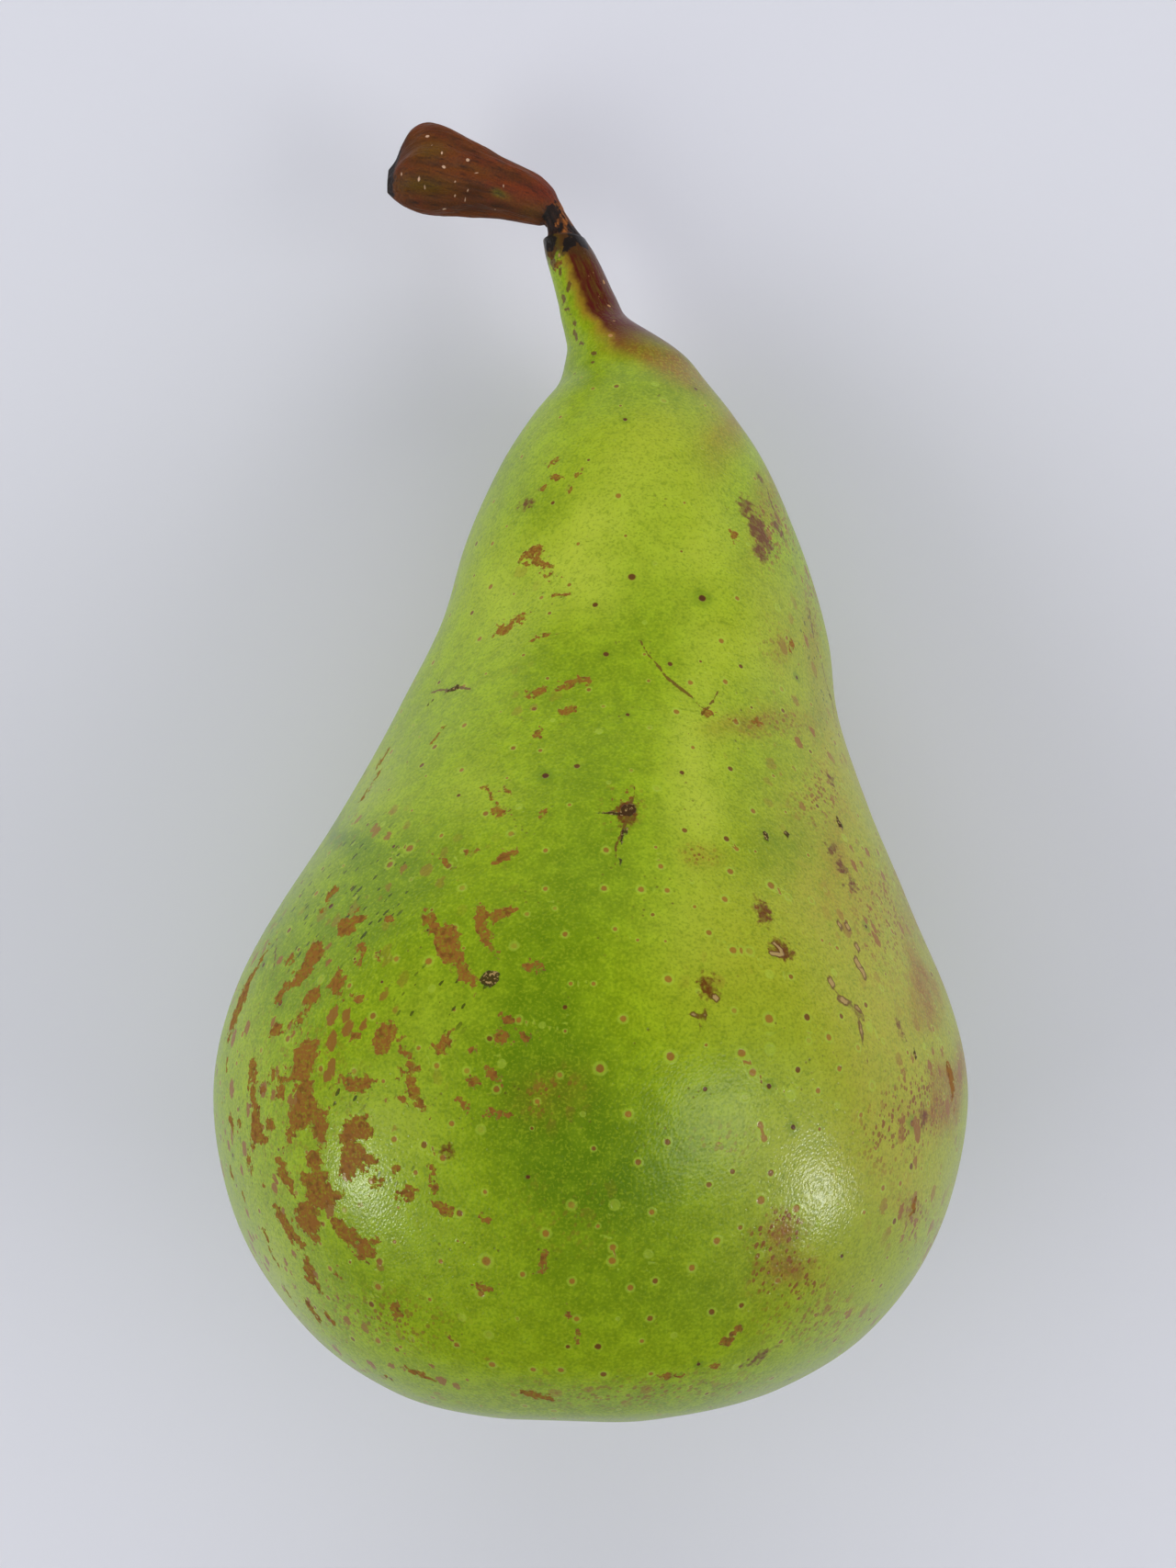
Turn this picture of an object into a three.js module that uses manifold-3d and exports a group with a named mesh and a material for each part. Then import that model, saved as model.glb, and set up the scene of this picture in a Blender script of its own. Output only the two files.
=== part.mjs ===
// A green pear lying on its side, as it comes to rest on a table: the fruit with its fleshy stalk
// foot, the dried woody stalk with a swollen end, and the dried calyx in the hollow at the base.
// Millimetres, +Z up. The base of the fruit is towards -Y and the stalk towards +Y.
import * as THREE from "three";
import { mergeVertices } from "three/addons/utils/BufferGeometryUtils.js";
import Module from "manifold-3d";

// Driving dimensions. A station is a distance along the fruit's own axis, from its base upwards.
const WIDEST_RADIUS = 32.8;
const WIDEST_STATION = 27.8;
const FOOT_END_STATION = 108.6;
const FOOT_END_RADIUS = 2.0;
const BASIN_FLOOR_STATION = 5.2;
const LYING_TILT = THREE.MathUtils.degToRad(14);
const FLAT_SPOT_DEPTH = 0.5;
const BASE_SLANT = 0.22;
const RIB_COUNT = 5;
const SEPAL_COUNT = 5;
const SEPAL_REACH = 5.0;
const SEPAL_THICKNESS = 0.6;
const STALK_PEG_RADIUS = 0.7;
const STALK_PEG_DEPTH = 4.0;
const GAP = 0.3;

const AROUND_FRUIT = 64;
const ALONG_FRUIT = 62;
const AROUND_STALK = 28;
const ALONG_STALK = 40;
const AROUND_CALYX = 40;
const ALONG_CALYX = 8;

// Outline of the fruit as [station, radius]: calyx hollow, crest of the base, belly, neck, stalk foot.
const PROFILE = [
  [BASIN_FLOOR_STATION, 0], [4.8, 2.4], [3.0, 5.2], [1.5, 8.4], [1.7, 11.8], [3.2, 17.0], [7.0, 23.2],
  [13.0, 28.4], [19.7, 31.5], [WIDEST_STATION, WIDEST_RADIUS], [36.0, 31.5], [44.5, 28.2], [53.0, 24.0],
  [61.8, 20.2], [70.6, 17.5], [79.4, 15.1], [86.4, 12.4], [91.2, 9.6], [94.6, 7.1], [97.0, 5.8],
  [99.3, 4.2], [101.2, 3.1], [103.6, 2.7], [107.0, 2.35], [FOOT_END_STATION, FOOT_END_RADIUS],
];

// The fruit's middle line leans sideways towards the neck and swings back along the stalk foot.
const LEAN = [
  [0, -0.8], [12, -0.35], [26, -0.2], [40, -0.25], [49, 0.6], [62, 2.2], [71, 3.8], [82, 3.9],
  [91, 3.9], [95, 3.9], [98, 2.9], [101, 0.5], [103, -0.3], [106, -1.4], [109.5, -2.8],
];

// The same line seen from the side: the neck droops, and the stalk foot lifts a little.
const DROOP = [
  [0, 0.3], [26, 0.3], [44, -1.3], [60, -2.6], [76, -3.0], [92, -3.0], [100, -2.2], [110, -0.6],
];

// Depth of a section as a share of its width.
const DEPTH_SHARE = [[0, 0.97], [26, 0.95], [42, 0.98], [54, 1.03], [66, 1.03], [80, 1.0], [110, 1.0]];

// The dried stalk as sections, each an ellipse across two edges:
// [upper edge across, station, lower edge across, station, middle height, half depth].
const STALK_SECTIONS = [
  [-0.5, 108.9, -4.35, 108.9, -0.8, 1.8],
  [-1.3, 110.1, -4.3, 109.4, -0.7, 1.6],
  [-2.2, 111.5, -4.35, 109.9, -0.6, 1.5],
  [-3.2, 113.2, -4.75, 110.1, -0.5, 1.7],
  [-4.8, 114.9, -6.3, 110.4, -0.4, 2.2],
  [-7.7, 116.4, -9.0, 110.9, -0.2, 2.6],
  [-10.7, 118.0, -12.2, 111.2, 0.0, 3.1],
  [-13.2, 119.4, -14.7, 111.1, 0.1, 3.7],
  [-15.2, 119.8, -16.2, 111.3, 0.2, 3.8],
  [-16.7, 119.0, -17.3, 111.7, 0.3, 3.4],
  [-17.6, 117.5, -18.1, 112.2, 0.3, 2.7],
  [-18.2, 116.1, -18.6, 112.6, 0.3, 1.7],
  [-18.9, 115.2, -19.0, 113.0, 0.3, 0.9],
];

const wasm = await Module();
wasm.setup();

// A smooth curve through rows of numbers, one value per column, as a sampler of 0..1.
function curveThrough(rows) {
  const last = rows.length - 1;
  const row = (i) => {
    if (i < 0) return rows[0].map((value, k) => 2 * value - rows[1][k]);
    if (i > last) return rows[last].map((value, k) => 2 * value - rows[last - 1][k]);
    return rows[i];
  };
  return (share) => {
    const place = Math.min(share * last, last - 1e-9);
    const i = Math.floor(place);
    const t = place - i;
    const [a, b, c, d] = [row(i - 1), row(i), row(i + 1), row(i + 2)];
    return b.map(
      (value, k) =>
        0.5 *
        (2 * value +
          (c[k] - a[k]) * t +
          (2 * a[k] - 5 * value + 4 * c[k] - d[k]) * t * t +
          (3 * value - a[k] - 3 * c[k] + d[k]) * t * t * t),
    );
  };
}

// Rows spaced evenly along such a curve, measured on the columns that hold places.
function evenRows(rows, count, placeOf) {
  const sample = curveThrough(rows);
  const fine = Array.from({ length: 60 * rows.length + 1 }, (_, i) => sample(i / (60 * rows.length)));
  const run = [0];
  for (let i = 1; i < fine.length; i++) {
    const [a, b] = [placeOf(fine[i - 1]), placeOf(fine[i])];
    run.push(run[i - 1] + Math.hypot(a[0] - b[0], a[1] - b[1]));
  }
  const total = run[run.length - 1];
  let k = 0;
  return Array.from({ length: count }, (_, i) => {
    const want = (total * i) / (count - 1);
    while (k < run.length - 2 && run[k + 1] < want) k++;
    const t = (want - run[k]) / (run[k + 1] - run[k]);
    return fine[k].map((value, c) => value + (fine[k + 1][c] - value) * t);
  });
}

// A value read off a smooth curve through [station, value] pairs.
function readerOf(pairs) {
  const fine = evenRows(pairs, 400, (row) => row);
  return (station) => {
    let k = 0;
    while (k < fine.length - 2 && fine[k + 1][0] < station) k++;
    const t = THREE.MathUtils.clamp((station - fine[k][0]) / (fine[k + 1][0] - fine[k][0]), 0, 1);
    return fine[k][1] + (fine[k + 1][1] - fine[k][1]) * t;
  };
}

const leanAt = readerOf(LEAN);
const droopAt = readerOf(DROOP);
const depthShareAt = readerOf(DEPTH_SHARE);

const bell = (x, middle, width) => Math.exp(-(((x - middle) / width) ** 2));

// Soft ribs as a share of the radius: strong round the calyx, faint on the belly, none at the neck.
function ribShare(station, angle) {
  const strength = 0.016 * bell(station, 0, 9) + 0.008 * bell(station, 26, 22);
  const sway = 0.006 * bell(station, 40, 30) * Math.cos(3 * angle - 1.1 + station / 40);
  return 1 + strength * Math.cos(RIB_COUNT * angle + 0.6) + sway;
}

// The slow unevenness of a grown fruit, in millimetres, faded out at both ends.
function unevenness(station, angle) {
  const fade = THREE.MathUtils.clamp(station / 12, 0, 1) * THREE.MathUtils.clamp((90 - station) / 12, 0, 1);
  const waves =
    0.22 * Math.sin(2 * angle + station / 9) +
    0.16 * Math.sin(4 * angle - station / 6.5 + 1.3) +
    0.12 * Math.sin(7 * angle + station / 5 + 0.5);
  return fade * waves;
}

// Puts a point given by station, radius and angle round the axis onto the bent, ribbed, slanted fruit.
function onFruit(station, radius, angle) {
  const uneven = unevenness(station, angle) * THREE.MathUtils.clamp(radius / 8, 0, 1);
  const reach = radius * ribShare(station, angle) + uneven;
  const across = leanAt(station) + reach * Math.cos(angle);
  const height = droopAt(station) + reach * Math.sin(angle) * depthShareAt(station);
  const slant = BASE_SLANT * bell(station, 0, 14) * height;
  const rim = bell(radius, 8, 3.5) * Math.min(radius / 4, 1) * bell(station, 0, 9);
  const crest = 0.12 * rim * Math.cos(RIB_COUNT * angle + 0.6);
  return [across, station - slant - crest, height];
}

// Turns a lathe about the Y axis into a shape: place(radius, y, angle) says where each point goes.
function shapedLathe(points, around, place) {
  const outline = points.map(([radius, y]) => new THREE.Vector2(radius, y));
  const geometry = new THREE.LatheGeometry(outline, around);
  const position = geometry.getAttribute("position");
  for (let i = 0; i < position.count; i++) {
    const [x, y, z] = [position.getX(i), position.getY(i), position.getZ(i)];
    position.setXYZ(i, ...place(Math.hypot(x, z), y, Math.atan2(z, x)));
  }
  return geometry;
}

// Lays a geometry of the upright pear on its side, neck down.
const laid = (geometry) => geometry.rotateX(-LYING_TILT);

function solidOf(geometry) {
  const bare = geometry.index ? geometry.toNonIndexed() : geometry.clone();
  bare.deleteAttribute("normal");
  bare.deleteAttribute("uv");
  const merged = mergeVertices(bare, 1e-4);
  return new wasm.Manifold(
    new wasm.Mesh({
      numProp: 3,
      vertProperties: merged.getAttribute("position").array,
      triVerts: new Uint32Array(merged.index.array),
    }),
  );
}

function geometryOf(solid) {
  const mesh = solid.getMesh();
  const geometry = new THREE.BufferGeometry();
  geometry.setAttribute("position", new THREE.BufferAttribute(new Float32Array(mesh.vertProperties), 3));
  geometry.setIndex(new THREE.BufferAttribute(new Uint32Array(mesh.triVerts), 1));
  geometry.computeVertexNormals();
  return geometry;
}

// A round peg along the stalk, from inside the stalk foot to just past the foot's end.
function stalkPeg(radius, from, to) {
  const axis = new THREE.LineCurve3(
    new THREE.Vector3(leanAt(from), from, droopAt(from)),
    new THREE.Vector3(leanAt(to), to, droopAt(to)),
  );
  const circle = new THREE.Shape().absarc(0, 0, radius, 0, 2 * Math.PI);
  return laid(new THREE.ExtrudeGeometry(circle, { steps: 1, curveSegments: 6, extrudePath: axis }));
}

// The fruit: flesh and skin in one body, with the stalk's fleshy foot grown from its shoulder.
function fruitSolid() {
  const rows = evenRows(PROFILE, ALONG_FRUIT, (row) => row);
  const outline = rows.map(([station, radius]) => [radius, station]);
  outline[0][0] = 0;
  outline.push([0, FOOT_END_STATION]);
  const place = (radius, station, angle) => onFruit(station, radius, angle);
  return solidOf(laid(shapedLathe(outline, AROUND_FRUIT, place)));
}

// Wrinkles of the dried stalk as a share of its radius: long folds, a cleft between the two lobes of
// the swollen end, and a narrower woody wrist below the edge of the bark.
function wrinkleShare(along, angle) {
  const folds = 0.04 * Math.sin(5 * angle + 6 * along) + 0.03 * Math.sin(9 * angle - 9 * along + 1);
  const cleft = 0.22 * bell(along, 0.92, 0.12) * bell(Math.cos(angle - 1.15), 1, 0.12);
  const wrist = 0.14 * THREE.MathUtils.smoothstep(0.21 - along, 0, 0.04) * THREE.MathUtils.smoothstep(along, 0, 0.06);
  return 1 + folds * bell(along, 0.6, 0.4) - cleft - wrist;
}

// The dried stalk: a thin woody wrist, a sharp bend, and the swollen end where it parted from the spur.
function stalkSolid() {
  const middle = (row) => [(row[0] + row[2]) / 2, (row[1] + row[3]) / 2];
  const sections = evenRows(STALK_SECTIONS, ALONG_STALK, middle);
  const outline = [[0, 0], ...sections.map((_, i) => [1, i / (ALONG_STALK - 1)]), [0, 1]];
  const place = (share, along, angle) => {
    const [upperAcross, upper, lowerAcross, lower, height, halfDepth] =
      sections[Math.round(along * (ALONG_STALK - 1))];
    const reach = share * wrinkleShare(along, angle);
    const swing = reach * Math.cos(angle);
    return [
      (upperAcross + lowerAcross) / 2 + ((upperAcross - lowerAcross) / 2) * swing,
      (upper + lower) / 2 + ((upper - lower) / 2) * swing,
      height + halfDepth * reach * Math.sin(angle),
    ];
  };
  const woody = solidOf(laid(shapedLathe(outline, AROUND_STALK, place)));
  const peg = solidOf(stalkPeg(STALK_PEG_RADIUS, FOOT_END_STATION - STALK_PEG_DEPTH, FOOT_END_STATION + 1));
  return woody.add(peg);
}

// The dried calyx: five sepals joined round a low mound of withered stamens, lying in the base hollow.
function calyxSolid() {
  const basin = readerOf(PROFILE.slice(0, 5).map(([station, radius]) => [radius, station]));
  const sepal = (angle) => 0.42 + 0.58 * Math.abs(Math.cos((SEPAL_COUNT * angle) / 2)) ** 1.4;
  const steps = Array.from({ length: ALONG_CALYX + 1 }, (_, i) => i / ALONG_CALYX);
  const outer = steps.map((share) => [share, 1]);
  const inner = steps.toReversed().map((share) => [share, 0]);
  const place = (share, side, angle) => {
    const radius = Math.max(SEPAL_REACH * share * sepal(angle), 0);
    const curl = 0.5 * share ** 3 * bell(Math.cos((SEPAL_COUNT * angle) / 2) ** 2, 1, 0.6);
    const mound = 1.0 * bell(radius, 0, 1.2);
    const station = basin(radius) - GAP - curl - side * (SEPAL_THICKNESS + mound);
    return onFruit(station, radius, angle);
  };
  return solidOf(laid(shapedLathe([...outer, ...inner], AROUND_CALYX, place)));
}

function meshOf(name, solid, material) {
  const mesh = new THREE.Mesh(geometryOf(solid), material);
  mesh.name = name;
  return mesh;
}

// Everything is raised so that the table cuts a small flat spot into the belly.
function pear() {
  const whole = fruitSolid();
  const lowest = whole.boundingBox().min[2];
  const tableHeight = lowest + FLAT_SPOT_DEPTH;
  const below = new THREE.BoxGeometry(200, 300, 20).translate(0, 40, tableHeight - 10);
  const socketFloor = FOOT_END_STATION - STALK_PEG_DEPTH - GAP;
  const socket = stalkPeg(STALK_PEG_RADIUS + GAP, socketFloor, FOOT_END_STATION + 2);
  const fruit = whole.subtract(solidOf(below)).subtract(solidOf(socket));

  const skin = new THREE.MeshStandardMaterial({ color: 0x8fae35, roughness: 0.42, metalness: 0 });
  const bark = new THREE.MeshStandardMaterial({ color: 0x5d3a22, roughness: 0.62, metalness: 0 });
  const sepals = new THREE.MeshStandardMaterial({ color: 0x3d2d1e, roughness: 0.85, metalness: 0 });

  const group = new THREE.Group();
  group.add(meshOf("fruit", fruit, skin));
  group.add(meshOf("stalk", stalkSolid(), bark));
  group.add(meshOf("calyx", calyxSolid(), sepals));

  const box = new THREE.Box3().setFromObject(group);
  const middle = box.getCenter(new THREE.Vector3());
  group.children.forEach((mesh) => mesh.position.set(-middle.x, -middle.y, -tableHeight));
  return group;
}

export default pear();
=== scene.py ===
"""A green pear lying on its side on white paper, seen from straight above.

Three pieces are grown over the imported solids: the skin with its stalk foot, the dried stalk, and the
dried calyx in the base. Each is a surface of two parameters, worked out with numpy in millimetres.
A station is a distance along the pear's own axis, from its base towards its stalk.
"""

import logging
import math
from dataclasses import dataclass
from enum import Enum

import bpy
import numpy as np
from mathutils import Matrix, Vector


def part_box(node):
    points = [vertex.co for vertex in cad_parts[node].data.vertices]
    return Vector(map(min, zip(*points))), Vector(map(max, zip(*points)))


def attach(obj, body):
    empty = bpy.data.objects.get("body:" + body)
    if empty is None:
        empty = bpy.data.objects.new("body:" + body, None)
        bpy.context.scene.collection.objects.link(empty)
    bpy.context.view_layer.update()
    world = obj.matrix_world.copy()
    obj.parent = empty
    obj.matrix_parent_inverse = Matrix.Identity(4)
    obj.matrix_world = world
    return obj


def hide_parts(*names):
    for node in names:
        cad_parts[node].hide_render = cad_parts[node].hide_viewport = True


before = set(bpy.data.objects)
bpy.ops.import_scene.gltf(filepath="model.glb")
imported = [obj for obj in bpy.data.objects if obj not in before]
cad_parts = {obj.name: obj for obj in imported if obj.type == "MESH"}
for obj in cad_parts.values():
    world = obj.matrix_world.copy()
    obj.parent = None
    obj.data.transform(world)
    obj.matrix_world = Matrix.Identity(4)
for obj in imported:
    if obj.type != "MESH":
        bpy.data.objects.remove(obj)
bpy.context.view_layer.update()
LOG = logging.getLogger("pear")

METRE = 0.001

# Settings that many nodes share.
SUBTRACT = {"operation": "SUBTRACT"}
MULTIPLY = {"operation": "MULTIPLY"}
MULTIPLY_ADD = {"operation": "MULTIPLY_ADD"}
DIVIDE = {"operation": "DIVIDE"}
MAXIMUM = {"operation": "MAXIMUM"}
SCALE = {"operation": "SCALE"}
LENGTH = {"operation": "LENGTH"}
SMOOTHSTEP = {"interpolation_type": "SMOOTHSTEP"}
COLOURS = {"data_type": "RGBA"}

LYING_TILT = math.radians(14.0)
FLAT_SPOT_DEPTH = 0.5
WIDEST_STATION = 27.8
WIDEST_RADIUS = 32.8
FOOT_END_STATION = 108.6
BASE_SLANT = 0.22
RIB_COUNT = 5
SEPAL_COUNT = 5
SEPAL_REACH = 5.0
GAP = 0.3
HOLLOW_POINTS = 5

# How far in and out of a mark its depth is kept, and the size of the noise on its edge, in millimetres.
MARK_REACH = 2.0
EDGE_CELL = 1.3
# How far noise moves a cloud, in pixels of the picture, and the size of that noise, in millimetres.
CLOUD_SWAY = 26
CLOUD_CELL = 9
# Where an upward normal begins to count as seen from above, and where it counts in full.
SEEN_FROM = -0.25
SEEN_IN_FULL = 0.12
# Seeds of the noise: marks count up from the first, and a wash adds the length of its name.
FIRST_MARK_SEED = 11
BARK_SEED = 21
WILD_SEED = 31
CLOUD_SEEDS = (41, 51)
WASH_SEED = 61
FOOT_SEED = 71
# Added to the squared distance in pixels of a point that the picture doesn't show.
OUT_OF_SIGHT = 1e6

# The picture: 1280 by 1707 pixels, taken 300 mm above the widest part, which is 821 pixels wide.
PICTURE_WIDTH = 1280
PICTURE_HEIGHT = 1707
CAMERA_ABOVE_AXIS = 300.0
PIXELS_PER_MM = 821 / 66
FOCAL_PIXELS = PIXELS_PER_MM * CAMERA_ABOVE_AXIS
SENSOR_MM = 36.0
WIDEST_PART_RIGHT_OF_CENTRE = 3.0
WIDEST_PART_BELOW_CENTRE = 341.5

# Outline of the fruit as (station, radius): calyx hollow, crest of the base, belly, neck, stalk foot.
# The hollow takes up the first five points.
PROFILE = (
    (5.2, 0), (4.8, 2.4), (3.0, 5.2), (1.5, 8.4), (1.7, 11.8), (3.2, 17.0), (7.0, 23.2), (13.0, 28.4),
    (19.7, 31.5), (WIDEST_STATION, WIDEST_RADIUS), (36.0, 31.5), (44.5, 28.2), (53.0, 24.0), (61.8, 20.2),
    (70.6, 17.5), (79.4, 15.1), (86.4, 12.4), (91.2, 9.6), (94.6, 7.1), (97.0, 5.8), (99.3, 4.2),
    (101.2, 3.1), (103.6, 2.7), (107.0, 2.35), (FOOT_END_STATION, 2.0),
)
# The middle line leans sideways towards the neck and swings back along the stalk foot.
LEAN = (
    (0, -0.8), (12, -0.35), (26, -0.2), (40, -0.25), (49, 0.6), (62, 2.2), (71, 3.8), (82, 3.9), (91, 3.9),
    (95, 3.9), (98, 2.9), (101, 0.5), (103, -0.3), (106, -1.4), (109.5, -2.8),
)
# The same line from the side: the neck droops and the stalk foot lifts a little.
DROOP = ((0, 0.3), (26, 0.3), (44, -1.3), (60, -2.6), (76, -3.0), (92, -3.0), (100, -2.2), (110, -0.6))
# Depth of a section as a share of its width.
DEPTH_SHARE = ((0, 0.97), (26, 0.95), (42, 0.98), (54, 1.03), (66, 1.03), (80, 1.0), (110, 1.0))
# The stalk's sections, each an ellipse across two edges:
# (upper edge across, station, lower edge across, station, middle height, half depth).
STALK_SECTIONS = (
    (-0.5, 108.9, -4.35, 108.9, -0.8, 1.8), (-1.3, 110.1, -4.3, 109.4, -0.7, 1.6),
    (-2.2, 111.5, -4.35, 109.9, -0.6, 1.5), (-3.2, 113.2, -4.75, 110.1, -0.5, 1.7),
    (-4.8, 114.9, -6.3, 110.4, -0.4, 2.2), (-7.7, 116.4, -9.0, 110.9, -0.2, 2.6),
    (-10.7, 118.0, -12.2, 111.2, 0.0, 3.1), (-13.2, 119.4, -14.7, 111.1, 0.1, 3.7),
    (-15.2, 119.8, -16.2, 111.3, 0.2, 3.8), (-16.7, 119.0, -17.3, 111.7, 0.3, 3.4),
    (-17.6, 117.5, -18.1, 112.2, 0.3, 2.7), (-18.2, 116.1, -18.6, 112.6, 0.3, 1.7),
    (-18.9, 115.2, -19.0, 113.0, 0.3, 0.9),
)


def linear(hex_colour: str) -> tuple[float, float, float, float]:
    """Turns an sRGB colour into linear light.

    Args:
        hex_colour: six hex digits after a hash.

    Returns:
        Red, green, blue and alpha, from 0 to 1.
    """
    parts = [int(hex_colour[i:i + 2], 16) / 255 for i in (1, 3, 5)]
    light = [c / 12.92 if c <= 0.04045 else ((c + 0.055) / 1.055) ** 2.4 for c in parts]
    return (*light, 1.0)


def bell(x: np.ndarray, middle: float, width: float) -> np.ndarray:
    """One at the middle, falling off as exp(-((x - middle) / width)^2)."""
    return np.exp(-(((x - middle) / width) ** 2))


def ramp(x: np.ndarray, low: float, high: float) -> np.ndarray:
    """Nought below low and one above high, with an S-shaped climb 3t^2 - 2t^3 between them."""
    t = np.clip((x - low) / (high - low), 0, 1)
    return t * t * (3 - 2 * t)


def spline(rows: tuple, per: int = 24) -> np.ndarray:
    """A smooth curve through rows of numbers.

    Between rows b and c, with neighbours a and d, the point at share t is
    half of 2b + (c - a)t + (2a - 5b + 4c - d)t^2 + (3b - a - 3c + d)t^3.

    Args:
        rows: the rows, one value for each column.
        per: points made from each row to the next.

    Returns:
        An array of points along the curve.
    """
    p = np.array(rows, float)
    p = np.vstack([2 * p[0] - p[1], p, 2 * p[-1] - p[-2]])
    t = np.linspace(0, 1, per, endpoint=False)[None, :, None]
    a, b, c, d = (p[i:len(p) - 3 + i, None, :] for i in range(4))
    curve = 0.5 * (2 * b + (c - a) * t + (2 * a - 5 * b + 4 * c - d) * t**2 + (3 * b - a - 3 * c + d) * t**3)
    return np.vstack([curve.reshape(-1, p.shape[1]), p[-2:-1]])


def evenly(
    curve: np.ndarray, places: np.ndarray, count: int, crowding: np.ndarray | None = None
) -> np.ndarray:
    """Takes points at even steps along a curve.

    Args:
        curve: rows of numbers along the curve.
        places: the same rows as points, which the length is measured on.
        count: how many rows to return.
        crowding: for each row, how closely the steps stand there, one if left out.

    Returns:
        The rows at those steps.
    """
    step = np.linalg.norm(np.diff(places, axis=0), axis=1)
    if crowding is not None:
        step = step * (crowding[1:] + crowding[:-1]) / 2
    run = np.concatenate([[0], np.cumsum(step)])
    want = np.linspace(0, run[-1], count)
    return np.stack([np.interp(want, run, column) for column in curve.T], axis=1)


def read(pairs: tuple, station: np.ndarray) -> np.ndarray:
    """Reads the smooth curve through (station, value) pairs at each station."""
    curve = spline(pairs)
    return np.interp(station, curve[:, 0], curve[:, 1])


def lattice_noise(points: np.ndarray, cell: float, seed: int) -> np.ndarray:
    """Smooth noise: random values at the corners of cubic cells, blended with 3t^2 - 2t^3 on each axis.

    Args:
        points: places in millimetres, shape (..., 3).
        cell: width of a cell in millimetres.
        seed: which set of random values.

    Returns:
        Values from -1 to 1.
    """
    table = np.random.default_rng(seed).uniform(-1, 1, (64, 64, 64))
    place = points / cell + 1000.0
    corner = np.floor(place).astype(int)
    t = place - corner
    t = t * t * (3 - 2 * t)
    total = np.zeros(points.shape[:-1])
    for offset in np.ndindex(2, 2, 2):
        index = (corner + offset) % 64
        share = np.prod(np.where(np.array(offset), t, 1 - t), axis=-1)
        total += share * table[index[..., 0], index[..., 1], index[..., 2]]
    return total


def layered_noise(points: np.ndarray, cell: float, seed: int, layers: int = 3) -> np.ndarray:
    """Lattice noise added at halved cells and halved strengths, scaled back to about -1 to 1."""
    parts = [lattice_noise(points, cell / 2**k, seed + k) / 2**k for k in range(layers)]
    return sum(parts) / 1.5


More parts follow.
